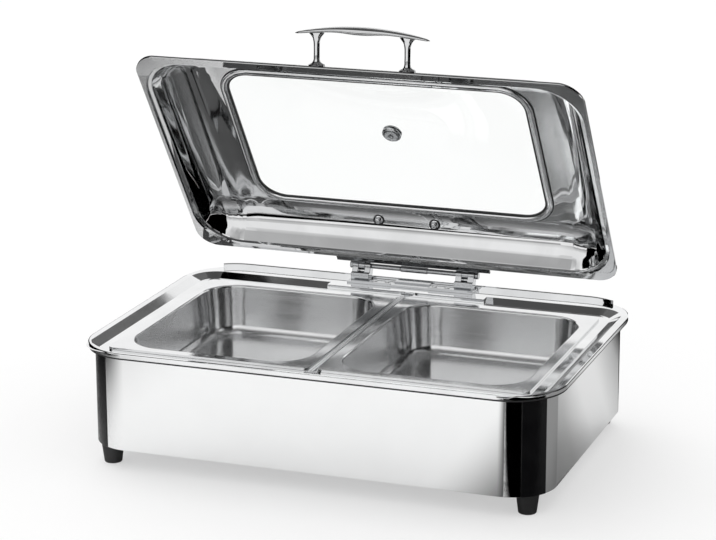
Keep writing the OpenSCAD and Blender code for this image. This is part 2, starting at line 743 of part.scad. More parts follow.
module switch_housing() {
    color([0.08, 0.08, 0.09]) translate([switch_x, 0, control_z]) difference() {
        union() {
            translate([-switch_half_x - 1.5, body_y + seat_gap / 2, -switch_half_z - 1.5])
                cube([2 * switch_half_x + 3, 2, 2 * switch_half_z + 3]);
            translate([-switch_half_x + 1, body_y - 20, -switch_half_z + 1])
                cube([2 * switch_half_x - 2, 21, 2 * switch_half_z - 2]);
        }
        translate([-rocker_w / 2 - side_gap, rocker_y - 8, -rocker_h / 2 - 1.6])
            cube([rocker_w + 2 * side_gap, 20, rocker_h + 3.2]);
        translate([-rocker_w / 2 - 1.2, rocker_y, 0]) rotate([0, 90, 0])
            cylinder(r = rocker_pin_r + run_gap, h = rocker_w + 2.4);
    }
}

module switch_rocker() {
    h = rocker_h / 2;
    color([0.55, 0.05, 0.05]) translate([switch_x, rocker_y, control_z]) rotate([rocker_tilt, 0, 0]) {
        translate([-rocker_w / 2, 0, 0]) rotate([90, 0, 90]) linear_extrude(rocker_w)
            polygon([[-3, -h], [5, -h], [3.4, 0], [5, h], [-3, h]]);
        translate([-rocker_w / 2 - 1, 0, 0]) rotate([0, 90, 0]) cylinder(r = rocker_pin_r, h = rocker_w + 2);
    }
}

module power_inlet() {
    w = inlet_w + 4;
    h = inlet_h + 4;
    color([0.05, 0.05, 0.06]) translate([inlet_x, 0, control_z]) {
        difference() {
            union() {
                translate([-w / 2 - 12, body_y + seat_gap / 2, -h / 2 - 3]) cube([w + 24, 2.5, h + 6]);
                translate([-w / 2, body_y - 18, -h / 2]) cube([w, 19, h]);
            }
            translate([-inlet_w / 2, body_y - 14, -inlet_h / 2]) cube([inlet_w, 30, inlet_h]);
            for (side = [-1, 1]) {
                translate([side * (inlet_w / 2 + 8), body_y + 5, 0]) rotate([90, 0, 0])
                    cylinder(r = 1.8, h = 10);
            }
        }
        for (x = [-7, 0, 7]) {
            translate([x - 1, body_y - 15, x == 0 ? 0 : -4]) cube([2, 10, 4]);
        }
    }
}

module inlet_screws() {
    y = body_y + seat_gap + 2.5;
    color([0.60, 0.61, 0.62]) for (side = [-1, 1]) {
        translate([inlet_x + side * (inlet_w / 2 + 8), y + 1.6, control_z]) rotate([90, 0, 0]) {
            cylinder(r = 3, h = 1.6);
            cylinder(r = 1.6, h = 10);
        }
    }
}

module hinge_base() {
    color([0.82, 0.83, 0.84]) difference() {
        union() {
            translate([-hinge_base_x, hinge_base_y0, hinge_base_z])
                cube([2 * hinge_base_x, hinge_base_d, hinge_base_t]);
            translate([-24, hinge_base_y0 + 12, hinge_base_z]) cube([48, 8, hinge_base_t + 1.8]);
            for (side = [-1, 1]) {
                translate([side * 53 - 27, hinge_base_y0, hinge_base_z]) cube([54, 3.5, hinge_base_t + 1.4]);
            }
        }
        for (x = base_screws) {
            translate([x, base_screw_y, rim_top - 1])
                cylinder(r = base_screw_r + side_gap, h = hinge_base_t + 3);
        }
    }
}

module hinge_base_screws() {
    color([0.72, 0.73, 0.74]) for (x = base_screws) {
        translate([x, base_screw_y, hinge_base_z]) cylinder(r = base_screw_r, h = hinge_base_t + 0.5);
        translate([x, base_screw_y, hinge_base_top + seat_gap / 2])
            cylinder(r1 = base_screw_r + 1.9, r2 = base_screw_r + 1.1, h = 1.6);
    }
}

// Fork on the side given by its sign: two cheeks on a common foot
module fork(side) {
    x0 = side * fork_x - barrel_w / 2 - side_gap - cheek_w;
    z = hinge_base_top + seat_gap / 2;
    color([0.80, 0.81, 0.82]) difference() {
        union() {
            translate([x0, fork_y0, z])
                cube([fork_out - fork_in, fork_d, hinge_z - barrel_r - 2 * side_gap - z]);
            for (x = [x0, x0 + cheek_w + barrel_w + 2 * side_gap]) {
                on_hinge(x, x + cheek_w, cheek_r);
                translate([x, 0, 0]) rotate([90, 0, 90]) linear_extrude(cheek_w)
                    polygon([[fork_y0, z], [fork_y1, z], [hinge_y + cheek_r - 0.1, hinge_z - 1],
                        [hinge_y, hinge_z], [hinge_y - cheek_r + 0.1, hinge_z - 1]]);
            }
        }
        on_hinge(x0 - 1, x0 + fork_out - fork_in + 1, bore_r);
    }
}

module left_fork() {
    fork(-1);
}

module right_fork() {
    fork(1);
}

module hinge_pin() {
    color([0.75, 0.76, 0.77]) on_hinge(-fork_out - 3, fork_out + 3, pin_r);
}

module pin_caps() {
    color([0.78, 0.79, 0.80]) for (side = [-1, 1]) {
        difference() {
            on_hinge(side > 0 ? fork_out + seat_gap : -fork_out - seat_gap - 4.5,
                side > 0 ? fork_out + seat_gap + 4.5 : -fork_out - seat_gap, pin_r + 2.2);
            on_hinge(-fork_out - 3 - run_gap, fork_out + 3 + run_gap, bore_r);
        }
    }
}

module damper_tube() {
    x = fork_in - side_gap;
    c = damper_collar_w / 2;
    section = [[bore_r, -x], [damper_r, -x], [damper_r, -c - 1], [damper_collar_r, -c], [damper_collar_r, c],
        [damper_r, c + 1], [damper_r, x], [bore_r, x]];
    color([0.80, 0.81, 0.82]) translate([0, hinge_y, hinge_z]) rotate([0, 90, 0])
        rotate_extrude() polygon(section);
}

// Place of a leaf bolt on the inner face of the closed lid, Z out of the rear wall
module on_rear_wall(side) {
    translate([side * leaf_bolt_x, rear_mid_y + shoulder_r * cos(bolt_turn), lid_z + leaf_bolt_h])
        rotate([-90 + bolt_turn, 0, 0]) children();
}

module lid_leaf() {
    r = shoulder_out + seat_gap;
    plate_z = hinge_z - leaf_t / 2;
    plate_y = rear_mid_y + sqrt(pow(r + leaf_t / 2, 2) - pow(hinge_z - lid_z - shoulder_h, 2));
    color([0.80, 0.81, 0.82]) open_lid() difference() {
        union() {
            translate([0, rear_mid_y, lid_z + shoulder_h]) rotate([90, 0, 90])
                ring_sector(r, r + leaf_t, wall_lean + 1, bolt_turn + 7.5, -leaf_x, leaf_x);
            translate([-leaf_x, plate_y, plate_z]) cube([2 * leaf_x, leaf_edge - plate_y, leaf_t]);
            for (side = [-1, 1]) {
                on_hinge(side * fork_x - barrel_w / 2, side * fork_x + barrel_w / 2, barrel_r);
                translate([side * fork_x - barrel_w / 2, leaf_edge - 1, plate_z])
                    cube([barrel_w, hinge_y - leaf_edge + 1, leaf_t]);
            }
        }
        on_hinge(-leaf_x, leaf_x, bore_r);
        for (side = [-1, 1]) {
            on_rear_wall(side) cylinder(r = leaf_bolt_r + side_gap, h = 12);
        }
    }
}

module leaf_bolts() {
    color([0.74, 0.75, 0.76]) open_lid() for (side = [-1, 1]) {
        on_rear_wall(side) {
            translate([0, 0, -5]) cylinder(r = leaf_bolt_r, h = lid_t + leaf_t + 6);
            translate([0, 0, lid_t + leaf_t + 2 * seat_gap]) cylinder(r = leaf_bolt_r + 2.3, h = 2.6);
        }
    }
}

module leaf_nuts() {
    seat = 2.5 * seat_gap;
    bore = nut_h - 2.4;
    section = [[leaf_bolt_r + run_gap, seat], [nut_r + 0.8, seat], [nut_r + 0.8, 1.4], [nut_r, 1.6],
        [nut_r, nut_h - 3.6], [nut_r * 0.88, nut_h - 1.8], [nut_r * 0.55, nut_h - 0.5], [0, nut_h],
        [0, bore], [leaf_bolt_r + run_gap, bore]];
    color([0.78, 0.79, 0.80]) open_lid() for (side = [-1, 1]) {
        on_rear_wall(side) rotate([180, 0, 0]) rotate_extrude() polygon(section);
    }
}

module lid_shell() {
    z = lid_z;
    path = concat([[0, 0], [0.5, 2.6], [1.6, 3.4], [ring_w - 1, ring_h - 1], [ring_w, ring_h]],
        arc(shoulder_u, shoulder_h, shoulder_r, 180 - wall_lean, 90, 12), [[shoulder_u + 2, dome_h]]);
    section = [for (p = thick(path, lid_t)) [p[0], z + p[1]]];
    hem = [[0, z + 0.6], [0.6, z], [3, z], [3, z + lid_t], [1.5, z + lid_t], [1.5, z + hem_h - 0.4],
        [1.1, z + hem_h], [0.4, z + hem_h], [0, z + hem_h - 0.4]];
    inset = shoulder_u + 1;
    color([0.82, 0.83, 0.84]) open_lid() difference() {
        union() {
            difference() {
                round_block(-lid_x + 2, lid_x - 2, lid_y0 + 2, lid_y1 - 2, z, z + lid_t, lid_r - 2);
                round_block(-dome_x, dome_x, dome_y0, dome_y1, z - 1, z + lid_t + 1, dome_r);
            }
            ring_sweep(hem, -lid_x, lid_x, lid_y0, lid_y1, lid_r);
            ring_sweep(section, -dome_x, dome_x, dome_y0, dome_y1, dome_r);
            round_block(-dome_x + inset, dome_x - inset, dome_y0 + inset, dome_y1 - inset,
                z + dome_h, frame_top, dome_r - inset);
        }
        round_block(-open_x, open_x, lid_mid - open_y, lid_mid + open_y, z + dome_h - 1, frame_top + 1,
            win_r + bezel_lap);
        for (side = [-1, 1]) {
            on_rear_wall(side) translate([0, 0, -4]) cylinder(r = leaf_bolt_r + side_gap, h = 8);
            translate([side * post_x, front_wall_y, z + post_h]) rotate([90 - post_lean, 0, 0])
                translate([0, 0, -4]) cylinder(r = handle_screw_r + side_gap, h = 8);
        }
    }
}

module window_gasket() {
    w = gasket_w;
    color([0.10, 0.10, 0.10]) open_lid() difference() {
        round_block(-open_x - w, open_x + w, lid_mid - open_y - w, lid_mid + open_y + w,
            gasket_z, gasket_z + gasket_t, win_r + bezel_lap + w);
        round_block(-open_x, open_x, lid_mid - open_y, lid_mid + open_y,
            gasket_z - 1, gasket_z + gasket_t + 1, win_r + bezel_lap);
    }
}

module window_bezel() {
    w = bezel_w;
    h = bezel_h;
    lap = bezel_lap - seat_gap;
    out = w - bezel_lap;
    z = lid_z + dome_h - 0.5;
    section = [[0, z], [0.4, z - h * 0.5], [1.4, z - h * 0.83], [w * 0.4, z - h], [w - 2, z - h * 0.9],
        [w - 0.7, z - h * 0.6], [w, z - h * 0.1], [w, z + lid_t], [w - lap, z + lid_t], [w - lap, z]];
    color([0.82, 0.83, 0.84]) open_lid()
        ring_sweep(section, -open_x - out, open_x + out, lid_mid - open_y - out, lid_mid + open_y + out,
            win_r + w);
}

function bow(x, y) = glass_bow * max(0, 1 - pow(x / bow_x, 2)) * max(0, 1 - pow(y / bow_y, 2));
function grid(half, open, n) = concat([-half], [for (i = [0:n]) -open + 2 * open * i / n], [half]);

module window_glass() {
    xs = grid(glass_x, bow_x, 24);
    ys = grid(glass_y, bow_y, 16);
    nx = len(xs);
    ny = len(ys);
    n = nx * ny;
    low = [for (y = ys) for (x = xs) [x, lid_mid + y, glass_z + bow(x, y)]];
    high = [for (p = low) [p[0], p[1], p[2] + glass_t]];
    cells = [for (j = [0:ny - 2]) for (i = [0:nx - 2]) j * nx + i];
    under = [for (k = cells) for (f = [[k, k + 1, k + nx + 1], [k, k + nx + 1, k + nx]]) f];
    over = [for (f = under) [n + f[2], n + f[1], n + f[0]]];
    front = [for (i = [0:nx - 2]) [i + 1, i, n + i, n + i + 1]];
    back = [for (i = [0:nx - 2]) let (k = (ny - 1) * nx + i) [k, k + 1, n + k + 1, n + k]];
    left = [for (j = [0:ny - 2]) let (k = j * nx) [k, k + nx, n + k + nx, n + k]];
    right = [for (j = [0:ny - 2]) let (k = j * nx + nx - 1) [k + nx, k, n + k, n + k + nx]];
    r = win_r + glass_edge - 3;
    color([0.85, 0.92, 0.92, 0.35]) open_lid() difference() {
        intersection() {
            polyhedron(points = concat(low, high), faces = concat(under, over, front, back, left, right));
            round_block(-glass_x, glass_x, lid_mid - glass_y, lid_mid + glass_y, glass_z - 1,
                glass_z + glass_bow + glass_t + 1, r);
        }
        translate([0, lid_mid, glass_z]) cylinder(r = vent_stem_r + side_gap, h = glass_bow + glass_t + 1);
    }
}

module window_trim() {
    g = side_gap;
    w = trim_wall + g;
    r = win_r + glass_edge - 3;
    color([0.80, 0.81, 0.82]) open_lid() difference() {
        round_block(-glass_x - w, glass_x + w, lid_mid - glass_y - w, lid_mid + glass_y + w,
            gasket_z, trim_z + trim_t, r + w);
        round_block(-glass_x - g, glass_x + g, lid_mid - glass_y - g, lid_mid + glass_y + g,
            gasket_z - 1, trim_z, r + g);
        round_block(-open_x, open_x, lid_mid - open_y, lid_mid + open_y,
            gasket_z, trim_z + trim_t + 1, win_r + bezel_lap);
    }
}

module vent_body() {
    top = glass_z + glass_bow - vent_drop;
    section = [[vent_hole_r, top - vent_t], [vent_hole_r + 2, top - vent_t - 0.8],
        [vent_stem_r + 1, top - vent_t - 0.8], [vent_r - 2, top - vent_t], [vent_r, top - vent_t + 1.6],
        [vent_r, top], [vent_stem_r, top],
        [vent_stem_r, top + glass_t + vent_drop + vent_t], [vent_hole_r, top + glass_t + vent_drop + vent_t]];
    color([0.62, 0.63, 0.64]) open_lid() translate([0, lid_mid, 0]) rotate_extrude() polygon(section);
}

module vent_collar() {
    z = glass_z + glass_bow + glass_t + seat_gap;
    r = vent_stem_r + run_gap;
    section = [[r, z], [vent_r, z], [vent_r, z + 1.2], [vent_r - 2, z + vent_t - 0.6], [r, z + vent_t - 0.6]];
    color([0.70, 0.71, 0.72]) open_lid() translate([0, lid_mid, 0]) rotate_extrude() polygon(section);
}

// Frame of the handle: X along the bar, Z along the posts
module on_front_wall() {
    open_lid() translate([0, front_wall_y, lid_z + post_h]) rotate([90 - post_lean, 0, 0]) children();
}

// Cylinder that follows the rounded front of the lid, open, behind both handle posts
module front_shoulder(r) {
    open_lid() translate([-2 * post_x, front_mid_y, lid_z + shoulder_h]) rotate([0, 90, 0])
        cylinder(r = r, h = 4 * post_x, $fn = 360);
}

// Space below the underside of the handle bar
module under_grip(gap) {
    translate([0, 0, grip_low - grip_low_r]) rotate([90, 0, 0])
        cylinder(r = grip_low_r - gap, h = 60, center = true, $fn = 360);
}

module handle_bar() {
    top = grip_low + grip_t;
    color([0.82, 0.83, 0.84]) on_front_wall() difference() {
        intersection() {
            translate([0, 0, top - grip_top_r]) rotate([90, 0, 0])
                cylinder(r = grip_top_r, h = 2 * grip_w, center = true, $fn = 360);
            translate([0, grip_side_r - grip_half, 0]) cylinder(r = grip_side_r, h = 2 * top, $fn = 360);
            translate([0, grip_half - grip_side_r, 0]) cylinder(r = grip_side_r, h = 2 * top, $fn = 360);
            translate([-grip_x, -grip_w, 0]) cube([2 * grip_x, 2 * grip_w, 2 * top]);
        }
        under_grip(0);
    }
}

module handle_post(x) {
    top = post_len + 4;
    section = [[0, -4.5], [post_foot_r, -4.5], [post_foot_r, 1.8], [post_foot_r - 1.2, 2.6],
        [post_r + 2.2, 4.2], [post_r + 0.5, 6.5], [post_r, 9], [post_r, top], [0, top]];
    flare = [[-post_r, post_len - post_flare_h], [post_r, post_len - post_flare_h],
        [post_r + 1.2, post_len - post_flare_h * 0.6], [post_flare, post_len - 1], [post_flare, top],
        [-post_flare, top], [-post_flare, post_len - 1], [-post_r - 1.2, post_len - post_flare_h * 0.6]];
    color([0.80, 0.81, 0.82]) difference() {
        on_front_wall() difference() {
            intersection() {
                translate([x, 0, 0]) union() {
                    rotate_extrude() polygon(section);
                    translate([0, post_r - 0.6, 0]) rotate([90, 0, 0])
                        linear_extrude(2 * post_r - 1.2) polygon(flare);
                }
                under_grip(seat_gap);
            }
            translate([x, 0, -5]) cylinder(r = handle_screw_r + run_gap, h = handle_screw_len + 6);
        }
        front_shoulder(shoulder_out + seat_gap);
    }
}

module left_handle_post() {
    handle_post(-post_x);
}

module right_handle_post() {
    handle_post(post_x);
}

module handle_screws() {
    color([0.70, 0.71, 0.72]) {
        on_front_wall() for (side = [-1, 1]) {
            translate([side * post_x, 0, -3.6]) cylinder(r = handle_screw_r, h = 3.6 + handle_screw_len);
        }
        intersection() {
            on_front_wall() for (side = [-1, 1]) {
                translate([side * post_x, 0, -4.6])
                    cylinder(r1 = handle_screw_r + 1.6, r2 = handle_screw_r + 2.6, h = 4.6);
            }
            front_shoulder(shoulder_r - seat_gap);
        }
    }
}

water_pan();
front_panel();
rear_panel();
left_panel();
right_panel();
post_front_left();
post_front_right();
post_rear_left();
post_rear_right();
base_plate();
feet();
foot_screws();
divider_bar();
left_food_pan();
right_food_pan();
heater();
heater_clips();
thermostat();
knob();
knob_spindle();
switch_housing();
switch_rocker();
power_inlet();
inlet_screws();
hinge_base();
hinge_base_screws();
left_fork();
right_fork();
hinge_pin();
pin_caps();
damper_tube();
lid_leaf();
leaf_bolts();
leaf_nuts();
lid_shell();
window_gasket();
window_bezel();
window_glass();
window_trim();
vent_body();
vent_collar();
handle_bar();
left_handle_post();
right_handle_post();
handle_screws();
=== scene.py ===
import math
import bmesh
import bpy
from mathutils import Matrix, Vector


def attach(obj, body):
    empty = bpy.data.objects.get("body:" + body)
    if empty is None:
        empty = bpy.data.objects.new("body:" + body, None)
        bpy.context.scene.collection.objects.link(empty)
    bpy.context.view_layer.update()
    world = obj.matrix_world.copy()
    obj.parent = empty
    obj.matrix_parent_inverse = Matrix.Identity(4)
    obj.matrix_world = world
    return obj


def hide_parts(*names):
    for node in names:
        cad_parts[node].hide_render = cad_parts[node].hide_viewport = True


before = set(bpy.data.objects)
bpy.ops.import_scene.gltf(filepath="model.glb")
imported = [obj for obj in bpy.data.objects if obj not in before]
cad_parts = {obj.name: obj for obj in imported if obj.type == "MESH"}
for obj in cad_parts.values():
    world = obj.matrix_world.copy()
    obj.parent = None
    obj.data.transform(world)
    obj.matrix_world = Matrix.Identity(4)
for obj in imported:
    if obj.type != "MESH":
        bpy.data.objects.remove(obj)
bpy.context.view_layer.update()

# Camera of the product photograph.
# It stands to the front right, a little above the rim, and looks back and down with a long lens.
lens_az, lens_el, lens_roll = math.radians(19.97), math.radians(15.55), math.radians(-0.17)
look_at, lens_distance = Vector((-0.05258, 0.12898, 0.18398)), 3.29814
focal_pixels, photo_pixels, sensor_mm = 2563.5, 716, 36
level_reach = math.cos(lens_el)
away = Vector((math.sin(lens_az) * level_reach, -math.cos(lens_az) * level_reach, math.sin(lens_el)))
across = Vector((math.cos(lens_az), math.sin(lens_az), 0))
upward = away.cross(across)
level = across * math.cos(lens_roll) + upward * math.sin(lens_roll)
upright = upward * math.cos(lens_roll) - across * math.sin(lens_roll)
camera = bpy.data.objects.new("camera", bpy.data.cameras.new("camera"))
camera.data.sensor_width = sensor_mm
camera.data.lens = focal_pixels / photo_pixels * sensor_mm
pose = Matrix((level, upright, away)).transposed().to_4x4()
pose.translation = look_at + away * lens_distance
camera.matrix_world = pose
bpy.context.scene.collection.objects.link(camera)
bpy.context.scene.camera = camera
bpy.context.scene.view_settings.view_transform = "Standard"


# White studio: a pale table, an even white surround and one very large soft lamp behind on the left.
# The camera and the glass see the table half lit by itself, so it looks white and keeps the shadow.
# Only polished surfaces see the rest: a dim ceiling, and black cards and curtains round the object.
def placed(form, name):
    """A new object at the origin, made from a finished form."""
    mesh = bpy.data.meshes.new(name)
    form.to_mesh(mesh)
    form.free()
    piece = bpy.data.objects.new(name, mesh)
    bpy.context.scene.collection.objects.link(piece)
    return piece


def new_finish(name):
    material = bpy.data.materials.new(name)
    material.use_nodes = True
    nodes, links = material.node_tree.nodes, material.node_tree.links
    return material, nodes, links, nodes["Principled BSDF"]


def feed(links, value, socket):
    """Gives a socket a plain number, or a link from another socket."""
    if isinstance(value, bpy.types.NodeSocket):
        links.new(value, socket)
    else:
        socket.default_value = value


def reckon(nodes, links, operation, first, second):
    """The result of a math node on two sockets or numbers."""
    node = nodes.new("ShaderNodeMath")
    node.operation = operation
    feed(links, first, node.inputs[0])
    feed(links, second, node.inputs[1])
    return node.outputs[0]


def scaled(nodes, links, value, source, target, soft=False):
    """A value carried from the source range to the target range, with soft ends if asked."""
    node = nodes.new("ShaderNodeMapRange")
    if soft:
        node.interpolation_type = "SMOOTHSTEP"
    node.inputs["From Min"].default_value, node.inputs["From Max"].default_value = source
    node.inputs["To Min"].default_value, node.inputs["To Max"].default_value = target
    links.new(value, node.inputs["Value"])
    return node.outputs["Result"]


def tone_ramp(nodes, links, value, stops):
    """The colour of a ramp through the given positions and colours, in rising order."""
    ramp = nodes.new("ShaderNodeValToRGB")
    ends = ramp.color_ramp.elements
    ends[0].position, ends[1].position = stops[0][0], stops[-1][0]
    ends[0].color, ends[1].color = (*stops[0][1], 1), (*stops[-1][1], 1)
    for spot, colour in stops[1:-1]:
        ends.new(spot).color = (*colour, 1)
    links.new(value, ramp.inputs["Fac"])
    return ramp.outputs["Color"]


def greys(stops):
    return [(spot, (tone, tone, tone)) for spot, tone in stops]


surround_light, surround_shown = 0.86, 1.0
ceiling_tones = ((0.0, 0.4), (0.22, 1.0), (0.56, 1.0), (0.68, 0.5), (0.79, 0.12), (0.91, 0.07), (0.98, 0.12))
world = bpy.data.worlds.new("white_surround")
bpy.context.scene.world = world
world.use_nodes = True
nodes, links = world.node_tree.nodes, world.node_tree.links
surround = nodes["Background"]
path = nodes.new("ShaderNodeLightPath")
seen = reckon(nodes, links, "MAXIMUM", path.outputs["Is Camera Ray"], path.outputs["Is Glossy Ray"])
shown = reckon(nodes, links, "MAXIMUM", seen, path.outputs["Is Transmission Ray"])
strength = scaled(nodes, links, shown, (0, 1), (surround_light, surround_shown))
links.new(strength, surround.inputs["Strength"])
direction = nodes.new("ShaderNodeTexCoord")
height = nodes.new("ShaderNodeSeparateXYZ")
links.new(direction.outputs["Generated"], height.inputs["Vector"])
ceiling = tone_ramp(nodes, links, height.outputs["Z"], greys(ceiling_tones))
mirrored = nodes.new("ShaderNodeMix")
mirrored.data_type = "RGBA"
mirrored.inputs["A"].default_value = (1, 1, 1, 1)
links.new(path.outputs["Is Glossy Ray"], mirrored.inputs["Factor"])
links.new(ceiling, mirrored.inputs["B"])
links.new(mirrored.outputs["Result"], surround.inputs["Color"])

table_half, table_drop, table_white, table_rough, table_glow = 30, 0.0004, 0.96, 0.9, 0.5
form = bmesh.new()
bmesh.ops.create_grid(form, x_segments=1, y_segments=1, size=table_half)
bmesh.ops.translate(form, verts=form.verts, vec=(0, 0, -table_drop))
table = placed(form, "table")
laminate, nodes, links, shader = new_finish("white_laminate")
shader.inputs["Base Color"].default_value = (table_white, table_white, table_white, 1)
shader.inputs["Roughness"].default_value = table_rough
shader.inputs["Specular IOR Level"].default_value = 0.0
path = nodes.new("ShaderNodeLightPath")
shown = reckon(nodes, links, "MAXIMUM", path.outputs["Is Camera Ray"], path.outputs["Is Transmission Ray"])
glow = nodes.new("ShaderNodeEmission")
lifted = nodes.new("ShaderNodeMixShader")
links.new(reckon(nodes, links, "MULTIPLY", shown, table_glow), lifted.inputs["Fac"])
links.new(shader.outputs["BSDF"], lifted.inputs[1])
links.new(glow.outputs["Emission"], lifted.inputs[2])
links.new(lifted.outputs["Shader"], nodes["Material Output"].inputs["Surface"])
table.data.materials.append(laminate)


def mirror_only(form, name, paint):
    """Puts a painted form in the scene, where only reflections show it."""
    item = placed(form, name)
    item.visible_camera = item.visible_diffuse = item.visible_transmission = False
    item.visible_shadow = item.visible_volume_scatter = False
    item.data.materials.append(paint)


def table_card(name, x_ends, y_ends, lie, darkness):
    """A card on the table, black where darkness(nodes, links, x, y) is 1 and clear where it is 0."""
    form = bmesh.new()
    bmesh.ops.create_grid(form, x_segments=1, y_segments=1, size=0.5)
    size = (abs(x_ends[1] - x_ends[0]), abs(y_ends[1] - y_ends[0]), 1)
    bmesh.ops.scale(form, verts=form.verts, vec=size)
    bmesh.ops.translate(form, verts=form.verts, vec=(sum(x_ends) / 2, sum(y_ends) / 2, lie))
    paint, nodes, links, shader = new_finish(name)
    nodes.remove(shader)
    place = nodes.new("ShaderNodeTexCoord")
    parts = nodes.new("ShaderNodeSeparateXYZ")
    links.new(place.outputs["Object"], parts.inputs["Vector"])
    clear = nodes.new("ShaderNodeBsdfTransparent")
    black = nodes.new("ShaderNodeBsdfDiffuse")
    black.inputs["Color"].default_value = (0, 0, 0, 1)
    blend = nodes.new("ShaderNodeMixShader")
    links.new(darkness(nodes, links, parts.outputs["X"], parts.outputs["Y"]), blend.inputs["Fac"])
    links.new(clear.outputs["BSDF"], blend.inputs[1])
    links.new(black.outputs["BSDF"], blend.inputs[2])
    links.new(blend.outputs["Shader"], nodes["Material Output"].inputs["Surface"])
    mirror_only(form, name, paint)


def black_card(name, x_clear, x_black, x_far, y_clear, y_black, y_far, dark=1.0):
    """A card with two soft edges: each goes from clear to black, and the card ends at the far values."""
    def darkness(nodes, links, x, y):
        along_x = scaled(nodes, links, x, (x_clear, x_black), (0, 1), soft=True)
        along_y = scaled(nodes, links, y, (y_clear, y_black), (0, 1), soft=True)
        return reckon(nodes, links, "MULTIPLY", reckon(nodes, links, "MULTIPLY", along_x, along_y), dark)

    table_card(name, (x_clear, x_far), (y_clear, y_far), card_lie, darkness)


def slanted_card(name, x_span, y_span, slant, x_start, stops):
    """A card whose darkness changes in slanted stripes, so that a panel beside it shows upright bands."""
    first, last = stops[0][0], stops[-1][0]

    def darkness(nodes, links, x, y):
        shift = nodes.new("ShaderNodeMath")
        shift.operation = "MULTIPLY_ADD"
        shift.inputs[1].default_value, shift.inputs[2].default_value = -slant, slant * x_start
        links.new(x, shift.inputs[0])
        stripe = reckon(nodes, links, "ADD", y, shift.outputs[0])
        spots = [((spot - first) / (last - first), dark) for spot, dark in stops]
        return tone_ramp(nodes, links, scaled(nodes, links, stripe, (first, last), (0, 1)), greys(spots))

    table_card(name, x_span, y_span, slanted_lie, darkness)


def black_curtain(name, low, high, first, last, tone=0.0):
    """A curtain on part of a circle round the table, between two heights and two angles in degrees."""
    start = math.radians(first)
    form = bmesh.new()
    foot = Vector((curtain_radius * math.sin(start), -curtain_radius * math.cos(start), 0))
    hem = form.verts.new(foot + Vector((0, 0, low)))
    rail = form.verts.new(foot + Vector((0, 0, high)))
    edge = form.edges.new((hem, rail))
    bmesh.ops.spin(form, geom=[hem, rail, edge], cent=(0, 0, 0), axis=(0, 0, 1),
                   angle=math.radians(last) - start, steps=curtain_steps)
    cloth, nodes, links, shader = new_finish(name)
    shader.inputs["Base Color"].default_value = (tone, tone, tone, 1)
    shader.inputs["Specular IOR Level"].default_value = 0
    mirror_only(form, name, cloth)


card_lie, slanted_lie, curtain_radius, curtain_steps = 0.001, 0.002, 1.6, 64
black_curtain("rear_skirt", low=0.0, high=0.38, first=130, last=225)
black_curtain("rear_valance", low=0.98, high=2.4, first=130, last=225, tone=0.16)
black_curtain("right_flag", low=0.0, high=2.4, first=32, last=130)
black_curtain("left_flag", low=0.0, high=2.4, first=225, last=305)
panel_stripes = ((-0.15, 0.72), (-0.02, 0.53), (0.07, 0.2), (0.15, 0.2), (0.25, 0.55), (0.3, 1.0))
slanted_card("panel_card", (0.29, 1.1), (-0.2, 0.9), slant=2.75, x_start=0.3, stops=panel_stripes)
black_card("right_card", x_clear=0.12, x_black=0.27, x_far=0.31, y_clear=0.0, y_black=-0.14, y_far=-0.8)
black_card("corner_card", x_clear=0.24, x_black=0.27, x_far=1.1, y_clear=-0.17, y_black=-0.21, y_far=-1.1)
black_card("front_card", x_clear=1.0, x_black=0.6, x_far=-1.6, y_clear=-0.75, y_black=-1.0, y_far=-1.7)
black_card("left_card", x_clear=-0.30, x_black=-0.80, x_far=-1.2, y_clear=0.30, y_black=-0.10, y_far=-1.2)
black_card("side_card", x_clear=-0.295, x_black=-0.46, x_far=-0.9,
           y_clear=-0.30, y_black=-0.08, y_far=0.4, dark=0.75)

softbox_spread, softbox_strength, softbox_aim = math.radians(50), 0.85, Vector((0.45, -0.42, -0.8))
softbox = bpy.data.lights.new("softbox", "SUN")
softbox.angle = softbox_spread
softbox.energy = softbox_strength
lamp = bpy.data.objects.new("softbox", softbox)
lamp.rotation_euler = softbox_aim.to_track_quat("-Z", "Y").to_euler()
lamp.visible_glossy = False
bpy.context.scene.collection.objects.link(lamp)


# Feet: four tapered rubber cones under the corners, moulded in one piece each.
# A screw through the base plate pulls every foot up against it.
def dress(node, body, turn=30, edge=0.0, steps=2):
    """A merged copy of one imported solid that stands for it: smooth where it bends by less than turn degrees."""
    form = bmesh.new()
    form.from_mesh(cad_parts[node].data)
    bmesh.ops.remove_doubles(form, verts=form.verts, dist=0.000002)
    if edge:
        bmesh.ops.dissolve_limit(form, angle_limit=math.radians(0.5), verts=form.verts, edges=form.edges)
    for face in form.faces:
        face.smooth = True
    piece = placed(form, node + "_skin")
    if "custom_normal" in piece.data.attributes:
        piece.data.attributes.remove(piece.data.attributes["custom_normal"])
    piece.data.set_sharp_from_angle(angle=math.radians(turn))
    if edge:
        bevel = piece.modifiers.new("edge", "BEVEL")
        bevel.width = edge
        bevel.segments = steps
        bevel.limit_method = "ANGLE"
        bevel.angle_limit = math.radians(turn)
        bevel.profile = 0.5
        bevel.material = -1
    even = piece.modifiers.new("even", "WEIGHTED_NORMAL")
    even.keep_sharp = True
    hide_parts(node)
    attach(piece, body)
    return piece


def finish_with(material, *pieces):
    for piece in pieces:
        piece.data.materials.clear()
        piece.data.materials.append(material)


def noise(tree, vector, scale, detail):
    """A noise texture in a group or a material, with its scale from a socket or a number."""
    texture = tree.nodes.new("ShaderNodeTexNoise")
    texture.inputs["Detail"].default_value = detail
    tree.links.new(vector, texture.inputs["Vector"])
    feed(tree.links, scale, texture.inputs["Scale"])
    return texture


